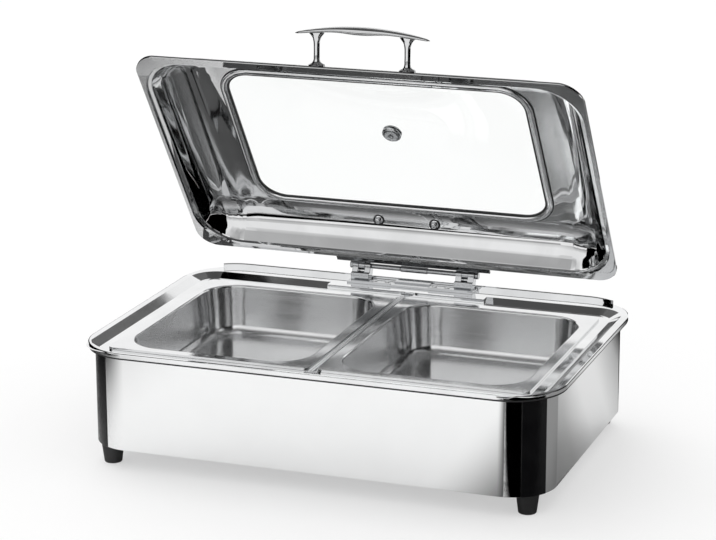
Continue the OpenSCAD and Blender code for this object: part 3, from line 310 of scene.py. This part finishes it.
def bumped(nodes, links, shader, height, strength, depth):
    bump = nodes.new("ShaderNodeBump")
    bump.inputs["Strength"].default_value = strength
    bump.inputs["Distance"].default_value = depth
    links.new(height, bump.inputs["Height"])
    links.new(bump.outputs["Normal"], shader.inputs["Normal"])


def effect_group(name, values, results):
    """An empty shader group with named value inputs and named outputs."""
    group = bpy.data.node_groups.new(name, "ShaderNodeTree")
    group.interface.new_socket("Vector", in_out="INPUT", socket_type="NodeSocketVector")
    for label, number in values.items():
        socket = group.interface.new_socket(label, in_out="INPUT", socket_type="NodeSocketFloat")
        socket.default_value = number
    for label in results:
        group.interface.new_socket(label, in_out="OUTPUT", socket_type="NodeSocketFloat")
    return group, group.nodes.new("NodeGroupInput"), group.nodes.new("NodeGroupOutput")


moulded, inner, outer = effect_group("moulded_skin", {"Grain Scale": 900.0, "Cloud Scale": 30.0},
                                     ("Height", "Cloud"))
grain = noise(moulded, inner.outputs["Vector"], inner.outputs["Grain Scale"], detail=3)
cloud = noise(moulded, inner.outputs["Vector"], inner.outputs["Cloud Scale"], detail=4)
moulded.links.new(grain.outputs["Fac"], outer.inputs["Height"])
moulded.links.new(cloud.outputs["Fac"], outer.inputs["Cloud"])


def moulded_finish(name, dark, pale, gloss, grain, depth):
    """Moulded plastic or rubber: fine grain in the surface and a faint cloud in its colour and gloss."""
    material, nodes, links, shader = new_finish(name)
    place = nodes.new("ShaderNodeTexCoord")
    skin = nodes.new("ShaderNodeGroup")
    skin.node_tree = moulded
    skin.inputs["Grain Scale"].default_value = grain
    links.new(place.outputs["Object"], skin.inputs["Vector"])
    tone = tone_ramp(nodes, links, skin.outputs["Cloud"], ((0.3, dark), (0.75, pale)))
    links.new(tone, shader.inputs["Base Color"])
    links.new(scaled(nodes, links, skin.outputs["Cloud"], (0, 1), gloss), shader.inputs["Roughness"])
    bumped(nodes, links, shader, skin.outputs["Height"], 0.6, depth)
    return material


foot_rubber = moulded_finish("foot_rubber", dark=(0.012, 0.012, 0.012), pale=(0.026, 0.026, 0.027),
                             gloss=(0.5, 0.75), grain=1400, depth=0.0002)
finish_with(foot_rubber, dress("feet", "base", turn=25, edge=0.0006))

# Base plate: one flat sheet of mill-finish steel with rows of cooling slots, punched and deburred.
# It lies on the folded panel edges, and the pan-head foot screws and the heater clips are of plain steel.
drawn, inner, outer = effect_group("drawn_grain", {"Length": 12.0, "Fineness": 900.0, "Cloud Scale": 14.0},
                                   ("Height", "Cloud"))
stretch = drawn.nodes.new("ShaderNodeCombineXYZ")
drawn.links.new(inner.outputs["Length"], stretch.inputs["X"])
drawn.links.new(inner.outputs["Fineness"], stretch.inputs["Y"])
drawn.links.new(inner.outputs["Fineness"], stretch.inputs["Z"])
along = drawn.nodes.new("ShaderNodeVectorMath")
along.operation = "MULTIPLY"
drawn.links.new(inner.outputs["Vector"], along.inputs[0])
drawn.links.new(stretch.outputs["Vector"], along.inputs[1])
lines = noise(drawn, along.outputs["Vector"], 1, detail=3)
cloud = noise(drawn, inner.outputs["Vector"], inner.outputs["Cloud Scale"], detail=5)
drawn.links.new(lines.outputs["Fac"], outer.inputs["Height"])
drawn.links.new(cloud.outputs["Fac"], outer.inputs["Cloud"])


def drawn_steel(name, dark, pale, gloss, depth, turn=0.0, fineness=900.0, smear=0.0, brushed=(1, 0.3, 0)):
    """Brushed or rolled steel: fine lines along one direction, with clouds in its colour.
    A smear above 0 also draws its reflections out across the brushed direction."""
    material, nodes, links, shader = new_finish(name)
    shader.inputs["Metallic"].default_value = 1
    place = nodes.new("ShaderNodeTexCoord")
    turned = nodes.new("ShaderNodeMapping")
    turned.inputs["Rotation"].default_value = (0, 0, turn)
    links.new(place.outputs["Object"], turned.inputs["Vector"])
    lines = nodes.new("ShaderNodeGroup")
    lines.node_tree = drawn
    lines.inputs["Fineness"].default_value = fineness
    links.new(turned.outputs["Vector"], lines.inputs["Vector"])
    tone = tone_ramp(nodes, links, lines.outputs["Cloud"], ((0.3, dark), (0.7, pale)))
    links.new(tone, shader.inputs["Base Color"])
    links.new(scaled(nodes, links, lines.outputs["Height"], (0.3, 0.7), gloss), shader.inputs["Roughness"])
    bumped(nodes, links, shader, lines.outputs["Height"], 0.5, depth)
    if smear:
        shader.inputs["Anisotropic"].default_value = smear
        face = nodes.new("ShaderNodeNewGeometry")
        tangent = nodes.new("ShaderNodeVectorMath")
        tangent.operation = "CROSS_PRODUCT"
        tangent.inputs[1].default_value = brushed
        links.new(face.outputs["Normal"], tangent.inputs[0])
        links.new(tangent.outputs["Vector"], shader.inputs["Tangent"])
    return material


mill_sheet = drawn_steel("mill_sheet", dark=(0.46, 0.47, 0.48), pale=(0.6, 0.61, 0.62),
                         gloss=(0.32, 0.5), depth=0.00006)
plain_screw = drawn_steel("plain_screw", dark=(0.6, 0.61, 0.62), pale=(0.74, 0.75, 0.76),
                          gloss=(0.2, 0.34), depth=0.00002, fineness=2500.0)
finish_with(mill_sheet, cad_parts["base_plate"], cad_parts["heater_clips"])
finish_with(plain_screw, dress("foot_screws", "base", edge=0.0004))

# Heating tube: a bent loop of metal-sheathed resistance wire that hangs in clips under the water pan.
# Its sheath is oxidised dark from use, browner where it gets hottest.
scorched, browned, patch_scale = (0.05, 0.042, 0.038), (0.24, 0.17, 0.12), 26
sheath, nodes, links, shader = new_finish("oxidised_sheath")
shader.inputs["Metallic"].default_value = 0.85
place = nodes.new("ShaderNodeTexCoord")
patches = noise(sheath.node_tree, place.outputs["Object"], patch_scale, detail=6)
tone = tone_ramp(nodes, links, patches.outputs["Fac"], ((0, scorched), (1, browned)))
links.new(tone, shader.inputs["Base Color"])
links.new(scaled(nodes, links, patches.outputs["Fac"], (0, 1), (0.4, 0.65)), shader.inputs["Roughness"])
finish_with(sheath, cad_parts["heater"])

# Body panels: four sheets of mirror-polished stainless steel, folded at the top and bottom
# and rolled round the corners, with the faint waver that thin polished sheet keeps.
polish, inner, outer = effect_group("polish_marks", {"Waver Scale": 9.0, "Smear Scale": 16.0},
                                    ("Height", "Smear"))
waver = noise(polish, inner.outputs["Vector"], inner.outputs["Waver Scale"], detail=0.5)
smear = noise(polish, inner.outputs["Vector"], inner.outputs["Smear Scale"], detail=6)
smear.inputs["Distortion"].default_value = 0.6
polish.links.new(waver.outputs["Fac"], outer.inputs["Height"])
polish.links.new(smear.outputs["Fac"], outer.inputs["Smear"])


def polished_steel(name, dark, pale, gloss, depth, waver_scale=9.0):
    """Mirror-polished steel: a shallow waver in the sheet and faint wiping smears in its gloss."""
    material, nodes, links, shader = new_finish(name)
    shader.inputs["Metallic"].default_value = 1
    place = nodes.new("ShaderNodeTexCoord")
    marks = nodes.new("ShaderNodeGroup")
    marks.node_tree = polish
    marks.inputs["Waver Scale"].default_value = waver_scale
    links.new(place.outputs["Object"], marks.inputs["Vector"])
    tone = tone_ramp(nodes, links, marks.outputs["Smear"], ((0.35, dark), (0.65, pale)))
    links.new(tone, shader.inputs["Base Color"])
    links.new(scaled(nodes, links, marks.outputs["Smear"], (0.35, 0.65), gloss), shader.inputs["Roughness"])
    bumped(nodes, links, shader, marks.outputs["Height"], 0.4, depth)
    return material


panel_polish = polished_steel("panel_polish", dark=(0.895, 0.9, 0.9), pale=(0.91, 0.915, 0.915),
                              gloss=(0.04, 0.08), depth=0.0008)
for node in ("front_panel", "rear_panel", "left_panel", "right_panel"):
    finish_with(panel_polish, dress(node, "base", turn=25, edge=0.0004))

# Corner posts: gloss black profiles that close the gap between two panels.
# A rib behind the face clamps both panel ends.
post_gloss = moulded_finish("post_gloss", dark=(0.0035, 0.0035, 0.004), pale=(0.006, 0.006, 0.0065),
                            gloss=(0.16, 0.26), grain=220, depth=0.00005)
post_gloss.node_tree.nodes["Principled BSDF"].inputs["Specular IOR Level"].default_value = 0.25
for node in ("post_front_left", "post_front_right", "post_rear_left", "post_rear_right"):
    finish_with(post_gloss, dress(node, "base", turn=25, edge=0.0004))

# Water pan: one deep-drawn stainless sheet with a rolled rim, a sloped recess for the lid,
# a shelf for the food pans and a well below; the rear edge is turned up and the inside is polished.
rim_polish = polished_steel("rim_polish", dark=(0.8, 0.805, 0.81), pale=(0.87, 0.875, 0.88),
                            gloss=(0.03, 0.07), depth=0.0012)
finish_with(rim_polish, dress("water_pan", "base", turn=20))

# Rim shadow ring: a thin black ring pressed into the fold under the rolled rim, all the way round.
# It is painted shadow: it shows as a dark line in the gap between the rim and the panels.
# Black for the nut seals, and painted shadow for the ring under the rim.
seal_black_and_rim_shadow = moulded_finish("seal_black_and_rim_shadow", dark=(0.012, 0.012, 0.012), pale=(0.022, 0.022, 0.023),
                            gloss=(0.5, 0.7), grain=1200, depth=0.0001)


def flat_ring(half_x, half_y, corner, width, low, high):
    """A closed flat ring with rounded corners: its outer edge, the width of its band and two heights."""
    form = bmesh.new()
    bmesh.ops.create_grid(form, x_segments=1, y_segments=1, size=1)
    bmesh.ops.scale(form, verts=form.verts, vec=(half_x, half_y, 1))
    bmesh.ops.bevel(form, geom=form.verts[:], affect="VERTICES", offset=corner, segments=24,
                    profile=0.5, material=-1)
    bmesh.ops.translate(form, verts=form.verts, vec=(0, 0, low))
    middle = form.faces[:]
    bmesh.ops.inset_region(form, faces=middle, thickness=width, use_boundary=True, use_even_offset=True)
    bmesh.ops.delete(form, geom=middle, context="FACES")
    raised = bmesh.ops.extrude_face_region(form, geom=form.faces[:], use_keep_orig=True)
    top = [item for item in raised["geom"] if isinstance(item, bmesh.types.BMVert)]
    bmesh.ops.translate(form, verts=top, vec=(0, 0, high - low))
    bmesh.ops.recalc_face_normals(form, faces=form.faces)
    return form


def ring_piece(form, name, body):
    ring = placed(form, name)
    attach(ring, body)
    return ring


# A black ring under the rim that paints the shadow in the gap as a dark line.
rim_shadow_x, rim_shadow_y, rim_shadow_round = 0.3, 0.2055, 0.067
rim_shadow_low, rim_shadow_high, rim_shadow_width = 0.1434, 0.1449, 0.003
rim_shadow_form = flat_ring(rim_shadow_x, rim_shadow_y, rim_shadow_round, rim_shadow_width, rim_shadow_low, rim_shadow_high)
finish_with(seal_black_and_rim_shadow, ring_piece(rim_shadow_form, "rim_shadow_ring", "base"))

# Divider bar: a bent and welded strip of brushed stainless sheet across the well.
# It carries the inner flanges of both food pans.
bar_satin = drawn_steel("bar_satin", dark=(0.68, 0.69, 0.7), pale=(0.78, 0.79, 0.8),
                        gloss=(0.2, 0.32), depth=0.00004, turn=math.pi / 2)
finish_with(bar_satin, dress("divider_bar", "base", edge=0.0005))

# Food pans: two half-size pans pressed from satin stainless sheet, with a flat flange turned down
# at its edge and polished on top. They lie loose on the shelf and lift straight out.
pan_satin = drawn_steel("pan_satin", dark=(0.82, 0.825, 0.83), pale=(0.88, 0.885, 0.89),
                        gloss=(0.18, 0.24), depth=0.00002, smear=0.85)
flange_polish = polished_steel("flange_polish", dark=(0.8, 0.805, 0.81), pale=(0.87, 0.875, 0.88),
                               gloss=(0.08, 0.14), depth=0.0004)
flange_depth = 0.0015


def second_finish(piece, material, chosen):
    """Gives the chosen faces of a dressed piece another material."""
    piece.data.materials.append(material)
    for face in piece.data.polygons:
        face.material_index = 1 if chosen(face.center) else 0


for node, body in (("left_food_pan", "left_pan"), ("right_food_pan", "right_pan")):
    pan = dress(node, body, turn=32)
    finish_with(pan_satin, pan)
    flange_low = max(vert.co.z for vert in pan.data.vertices) - flange_depth
    second_finish(pan, flange_polish, lambda spot: spot.z > flange_low)

# Controls on the rear panel: a thermostat with its turning knob, a rocker switch in a snap-in housing
# and a screwed-on appliance inlet, all of black moulded plastic with a red rocker. The knob has a white
# pointer, the inlet has nickel pins, and eleven ticks stand round the knob on the panel.
control_black = moulded_finish("control_black", dark=(0.018, 0.018, 0.019), pale=(0.034, 0.034, 0.036),
                               gloss=(0.38, 0.58), grain=2200, depth=0.00012)
rocker_red = moulded_finish("rocker_red", dark=(0.36, 0.012, 0.012), pale=(0.5, 0.03, 0.024),
                            gloss=(0.14, 0.24), grain=500, depth=0.00003)
mark_white = moulded_finish("mark_white", dark=(0.72, 0.72, 0.71), pale=(0.8, 0.8, 0.79),
                            gloss=(0.4, 0.55), grain=1500, depth=0.00003)
thermostat = dress("thermostat", "base", edge=0.0006)
knob = dress("knob", "thermostat_knob", edge=0.0007, steps=3)
housing = dress("switch_housing", "base", edge=0.0006)
inlet = dress("power_inlet", "base", edge=0.0006)
finish_with(control_black, thermostat, knob, housing, inlet)
pointer_front = 0.2138
second_finish(knob, mark_white, lambda spot: spot.y > pointer_front)
pin_low, pin_high = Vector((0.0365, 0.1826, 0.0835)), Vector((0.0535, 0.1916, 0.0925))
second_finish(inlet, plain_screw,
              lambda spot: all(low < value < high for low, value, high in zip(pin_low, spot, pin_high)))
dial_middle, dial_radius, dial_turn, tick_count = Vector((0.165, 0.1966, 0.088)), 0.0225, 270, 11
tick_length, tick_raise, thin_tick, thick_tick, thick_every = 0.0035, 0.0003, 0.0008, 0.0014, 5
form = bmesh.new()
for step in range(tick_count):
    turn = math.radians(dial_turn * (step / (tick_count - 1) - 0.5))
    tick = bmesh.ops.create_cube(form, size=1)["verts"]
    width = thin_tick if step % thick_every else thick_tick
    bmesh.ops.scale(form, verts=tick, vec=(width, tick_raise, tick_length))
    bmesh.ops.translate(form, verts=tick, vec=(0, 0, dial_radius + tick_length / 2))
    bmesh.ops.rotate(form, verts=tick, cent=(0, 0, 0), matrix=Matrix.Rotation(turn, 3, "Y"))
    bmesh.ops.translate(form, verts=tick, vec=dial_middle)
dial_ticks = placed(form, "dial_ticks")
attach(dial_ticks, "base")
finish_with(control_black, dial_ticks)
finish_with(rocker_red, dress("switch_rocker", "power_switch", edge=0.0005))
finish_with(plain_screw, dress("inlet_screws", "base", edge=0.0004), dress("knob_spindle", "thermostat_knob"))

# Hinge: a machined base screwed to the deck, two forks, a pin with end caps and a damper tube round it.
# The lid leaf is folded from thick sheet and its barrels turn between the fork cheeks.
# Inside the lid, polished acorn nuts hold the leaf's bolts, each on a black sealing ring.
hinge_steel = drawn_steel("hinge_steel", dark=(0.5, 0.51, 0.52), pale=(0.62, 0.63, 0.64),
                          gloss=(0.08, 0.16), depth=0.00003, fineness=1500.0)
for node in ("hinge_base", "left_fork", "right_fork", "pin_caps", "damper_tube"):
    finish_with(hinge_steel, dress(node, "base", edge=0.0005))
finish_with(hinge_steel, dress("hinge_pin", "base"), dress("lid_leaf", "lid", edge=0.0005))
finish_with(plain_screw, dress("hinge_base_screws", "base", edge=0.0004),
            dress("leaf_bolts", "lid", edge=0.0004))
nut_polish = polished_steel("nut_polish", dark=(0.78, 0.79, 0.8), pale=(0.86, 0.87, 0.88),
                            gloss=(0.08, 0.16), depth=0.0001, waver_scale=120.0)
finish_with(nut_polish, dress("leaf_nuts", "lid", turn=40))
hinge_axis, lid_open = Vector((0, 0.2, 0.1703)), math.radians(54.8)
closing = Matrix.Rotation(lid_open, 3, "X")
opening = closing.inverted()
nut_seat, nut_turn, nut_x = Vector((0, 0.1229, 0.1856)), math.radians(27.3), 0.038
seal_bore, seal_rim, seal_chamfer = 0.0044, 0.0074, 0.0005
seal_back, seal_edge, seal_face = 0.0005, -0.0004, -0.0009
seal_section = ((seal_bore, seal_back), (seal_rim, seal_back), (seal_rim, seal_edge),
                (seal_rim - seal_chamfer, seal_face), (seal_bore, seal_face))
form = bmesh.new()
section = [form.verts.new((radius, 0, height)) for radius, height in seal_section]
outline = [form.edges.new((section[step - 1], section[step])) for step in range(len(section))]
bmesh.ops.spin(form, geom=section + outline, cent=(0, 0, 0), axis=(0, 0, 1), angle=2 * math.pi,
               steps=48, use_merge=True)
bmesh.ops.rotate(form, verts=form.verts, cent=(0, 0, 0), matrix=Matrix.Rotation(-nut_turn, 3, "X"))
bmesh.ops.translate(form, verts=form.verts, vec=nut_seat + Vector((nut_x, 0, 0)))
twin = bmesh.ops.duplicate(form, geom=form.verts[:] + form.edges[:] + form.faces[:])["geom"]
twin_verts = [item for item in twin if isinstance(item, bmesh.types.BMVert)]
bmesh.ops.translate(form, verts=twin_verts, vec=(-2 * nut_x, 0, 0))
bmesh.ops.rotate(form, verts=form.verts, cent=hinge_axis, matrix=opening)
bmesh.ops.recalc_face_normals(form, faces=form.faces)
finish_with(seal_black_and_rim_shadow, ring_piece(form, "nut_seals", "lid"))

# Lid: a deep-drawn, mirror-polished stainless dome with a hemmed flange and a large opening in its top.
# The press leaves its left and right shoulders in one long soft curve up to the window,
# and the hem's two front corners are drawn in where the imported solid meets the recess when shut.
lid_polish = polished_steel("lid_polish", dark=(0.72, 0.725, 0.73), pale=(0.79, 0.795, 0.8),
                            gloss=(0.02, 0.05), depth=0.0014)
lid_bend = 20
lid_skin = dress("lid_shell", "lid", turn=lid_bend)
flange_height, dome_height = 0.1483, 0.043
curve_start, curve_end, curve_drop, curve_cuts = 0.203, 0.278, 0.003, 12
form = bmesh.new()
form.from_mesh(lid_skin.data)
for side in (-1, 1):
    for step in range(curve_cuts + 1):
        cut = side * (curve_start + (curve_end - curve_start) * step / curve_cuts)
        bmesh.ops.bisect_plane(form, geom=form.verts[:] + form.edges[:] + form.faces[:], dist=0.00001,
                               plane_co=(cut, 0, 0), plane_no=(1, 0, 0))
lid_up = opening @ Vector((0, 0, 1))
corner_x, corner_y, corner_inner, corner_outer = 0.257, -0.1675, 0.014, 0.026
corner_draw, corner_lift, hem_height = 0.0023, 0.0006, 0.0045
for vert in form.verts:
    along = (abs(vert.co.x) - curve_start) / (curve_end - curve_start)
    shut = closing @ (vert.co - hinge_axis) + hinge_axis
    rise = shut.z - flange_height
    if 0 < along < 1:
        share = math.sin(math.pi * along) ** 2 * min(1, max(0, rise / dome_height)) ** 2
        vert.co -= lid_up * curve_drop * share
    from_corner = Vector((abs(shut.x) - corner_x, shut.y - corner_y))
    if rise < hem_height and from_corner.x > 0 > from_corner.y:
        reach = min(1, max(0, (from_corner.length - corner_inner) / (corner_outer - corner_inner)))
        weight = reach * 2 * from_corner.x * -from_corner.y / from_corner.length_squared
        pull = from_corner.normalized() * corner_draw * weight
        inward = Vector((-math.copysign(pull.x, shut.x), -pull.y, corner_lift * weight))
        vert.co += opening @ inward
form.to_mesh(lid_skin.data)
form.free()
lid_skin.data.set_sharp_from_angle(angle=math.radians(lid_bend))
finish_with(lid_polish, lid_skin)

# Window: bowed tempered glass on a black silicone gasket, held by a pressed trim outside
# and edged by a rounded bezel inside. The gasket's lip frames the glass inside the bezel,
# and a thin black ring round the bezel, where it meets the lid, is painted shadow of the gap there.
# Black for the gasket and its lip, and painted shadow for the ring round the bezel.
gasket_black_and_gap_shadow = moulded_finish("gasket_black_and_gap_shadow", dark=(0.018, 0.018, 0.018), pale=(0.035, 0.035, 0.036),
                              gloss=(0.5, 0.7), grain=1200, depth=0.0001)
finish_with(gasket_black_and_gap_shadow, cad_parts["window_gasket"])
window_middle, clear_x, clear_y, clear_round = -0.016, 0.1945, 0.1145, 0.034
lip_width, lip_low, lip_high = 0.0022, 0.0424, 0.0449
bezel_width, gap_shadow_width, gap_shadow_low, gap_shadow_high = 0.008, 0.001, 0.0421, 0.0427


def window_ring(name, outside, width, low, high):
    """A flat ring on the open lid, from the given distance outside the clear window inwards."""
    form = flat_ring(clear_x + outside, clear_y + outside, clear_round + outside, width,
                     flange_height + low, flange_height + high)
    bmesh.ops.translate(form, verts=form.verts, vec=(0, window_middle, 0))
    bmesh.ops.rotate(form, verts=form.verts, cent=hinge_axis, matrix=opening)
    return ring_piece(form, name, "lid")


# The second ring is black paint for the shadow in the gap where the bezel meets the lid.
finish_with(gasket_black_and_gap_shadow, window_ring("gasket_lip", 0, lip_width, lip_low, lip_high),
            window_ring("bezel_gap_shadow", bezel_width + gap_shadow_width, gap_shadow_width, gap_shadow_low, gap_shadow_high))
bezel_polish = polished_steel("bezel_polish", dark=(0.86, 0.865, 0.87), pale=(0.92, 0.925, 0.93),
                              gloss=(0.02, 0.05), depth=0.0002)
finish_with(bezel_polish, dress("window_bezel", "lid", turn=40),
            dress("window_trim", "lid", turn=25, edge=0.0006))
glass_tint, glass_bend, film_scale, film_gloss = (0.985, 0.995, 0.99, 1), 1.2, 22, (0.0, 0.03)
clear_glass, nodes, links, shader = new_finish("clear_glass")
shader.inputs["Base Color"].default_value = glass_tint
shader.inputs["Transmission Weight"].default_value = 1
shader.inputs["IOR"].default_value = glass_bend
place = nodes.new("ShaderNodeTexCoord")
film = noise(clear_glass.node_tree, place.outputs["Object"], film_scale, detail=5)
links.new(scaled(nodes, links, film.outputs["Fac"], (0.4, 0.7), film_gloss), shader.inputs["Roughness"])
finish_with(clear_glass, dress("window_glass", "lid", turn=35))

# Steam vent: a turned and chromed stem with a small hole through it.
# It passes through the glass and is clamped there by a collar.
vent_chrome = polished_steel("vent_chrome", dark=(0.6, 0.61, 0.62), pale=(0.7, 0.71, 0.72),
                             gloss=(0.07, 0.15), depth=0.0001, waver_scale=120.0)
finish_with(vent_chrome, dress("vent_body", "lid", edge=0.0005), dress("vent_collar", "lid", edge=0.0005))

# Handle: a cast and chromed bar with rounded edges, thick in the middle and drawn out to its ends,
# on two posts that flare towards the lid and the bar. A screw through the lid wall holds each post.
handle_chrome = polished_steel("handle_chrome", dark=(0.66, 0.665, 0.67), pale=(0.74, 0.745, 0.75),
                               gloss=(0.04, 0.09), depth=0.0002, waver_scale=40.0)
grip_reach, grip_top_radius, grip_low_radius, grip_side_radius = 0.086, 0.3748, 0.6875, 0.5722
grip_low, grip_thick, grip_half_width, grip_belly, belly_reach = 0.04345, 0.007, 0.009, 0.0028, 0.04
tip_start, tip_length, tip_least, grip_roundness, grip_stations = 0.08, 0.0061, 0.04, 0.7, 48
handle_foot, handle_lean, round_steps = Vector((0, -0.16366, 0.18129)), math.radians(53), 32


def lofted(form, rings, name, node):
    """Skins a row of rings in the handle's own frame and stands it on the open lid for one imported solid."""
    for first, second in zip(rings, rings[1:]):
        for step in range(round_steps):
            form.faces.new((first[step], first[step - 1], second[step - 1], second[step]))
    form.faces.new(rings[0])
    form.faces.new(rings[-1])
    bmesh.ops.rotate(form, verts=form.verts, cent=(0, 0, 0), matrix=Matrix.Rotation(handle_lean, 3, "X"))
    bmesh.ops.translate(form, verts=form.verts, vec=handle_foot)
    bmesh.ops.rotate(form, verts=form.verts, cent=hinge_axis, matrix=opening)
    bmesh.ops.recalc_face_normals(form, faces=form.faces)
    for face in form.faces:
        face.smooth = True
    piece = placed(form, name)
    piece.data.set_sharp_from_angle(angle=math.radians(50))
    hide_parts(node)
    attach(piece, "lid")
    finish_with(handle_chrome, piece)


def underside(along):
    return grip_low - grip_low_radius + math.sqrt(grip_low_radius ** 2 - along ** 2)


def rounded(value):
    """A sine or cosine pushed outwards, which squares a circle off a little."""
    return math.copysign(abs(value) ** grip_roundness, value)


form = bmesh.new()
rings = []
for station in range(grip_stations + 1):
    along = grip_reach * (2 * station / grip_stations - 1)
    top = grip_low + grip_thick - grip_top_radius + math.sqrt(grip_top_radius ** 2 - along ** 2)
    low = underside(along)
    if abs(along) < belly_reach:
        low -= grip_belly * math.cos(math.pi / 2 * along / belly_reach) ** 2
    half = math.sqrt(grip_side_radius ** 2 - along ** 2) - grip_side_radius + grip_half_width
    past_tip = max(0, (abs(along) - tip_start) / tip_length)
    tip = math.sqrt(max(tip_least, 1 - past_tip ** 2))
    ring = []
    for step in range(round_steps):
        turn = 2 * math.pi * step / round_steps
        wide, high = rounded(math.cos(turn)) * half * tip, rounded(math.sin(turn)) * (top - low) / 2 * tip
        ring.append(form.verts.new((along, wide, (top + low) / 2 + high)))
    rings.append(ring)
lofted(form, rings, "handle_grip", "handle_bar")

# Each row is a height on the post with its half width along and across the handle.
post_sections = ((-0.0045, 0.01, 0.01), (0.0018, 0.01, 0.01), (0.0022, 0.0096, 0.0096),
                 (0.0026, 0.0088, 0.0088), (0.0034, 0.0072, 0.0072), (0.0042, 0.0058, 0.0058),
                 (0.0054, 0.0048, 0.0048), (0.0065, 0.0042, 0.0042), (0.009, 0.0036, 0.0036),
                 (0.018, 0.0035, 0.0035), (0.027, 0.0036, 0.0036), (0.030, 0.0039, 0.0036),
                 (0.033, 0.0047, 0.0035), (0.0355, 0.0059, 0.0034), (0.0375, 0.0074, 0.0034),
                 (0.039, 0.0089, 0.0034), (0.042, 0.0105, 0.0034))
wall_axis, wall_radius = Vector((-0.13418, 0.1473)), 0.0452
post_x, saddle_blend, grip_gap = 0.058, 0.4, 0.0001
for node, middle in (("left_handle_post", -post_x), ("right_handle_post", post_x)):
    form = bmesh.new()
    rings = []
    for height, half_x, half_y in post_sections:
        ring = []
        for step in range(round_steps):
            turn = 2 * math.pi * step / round_steps
            x, y = middle + half_x * math.cos(turn), half_y * math.sin(turn)
            start = handle_foot.yz + y * Vector((math.cos(handle_lean), math.sin(handle_lean))) - wall_axis
            outward = start.dot(Vector((-math.sin(handle_lean), math.cos(handle_lean))))
            saddle = math.sqrt(outward ** 2 - start.length_squared + wall_radius ** 2) - outward
            seated = max(height, saddle + max(0, height) * saddle_blend)
            ring.append(form.verts.new((x, y, min(seated, underside(x) - grip_gap))))
        rings.append(ring)
    lofted(form, rings, node + "_form", node)
finish_with(plain_screw, dress("handle_screws", "lid", edge=0.0004))
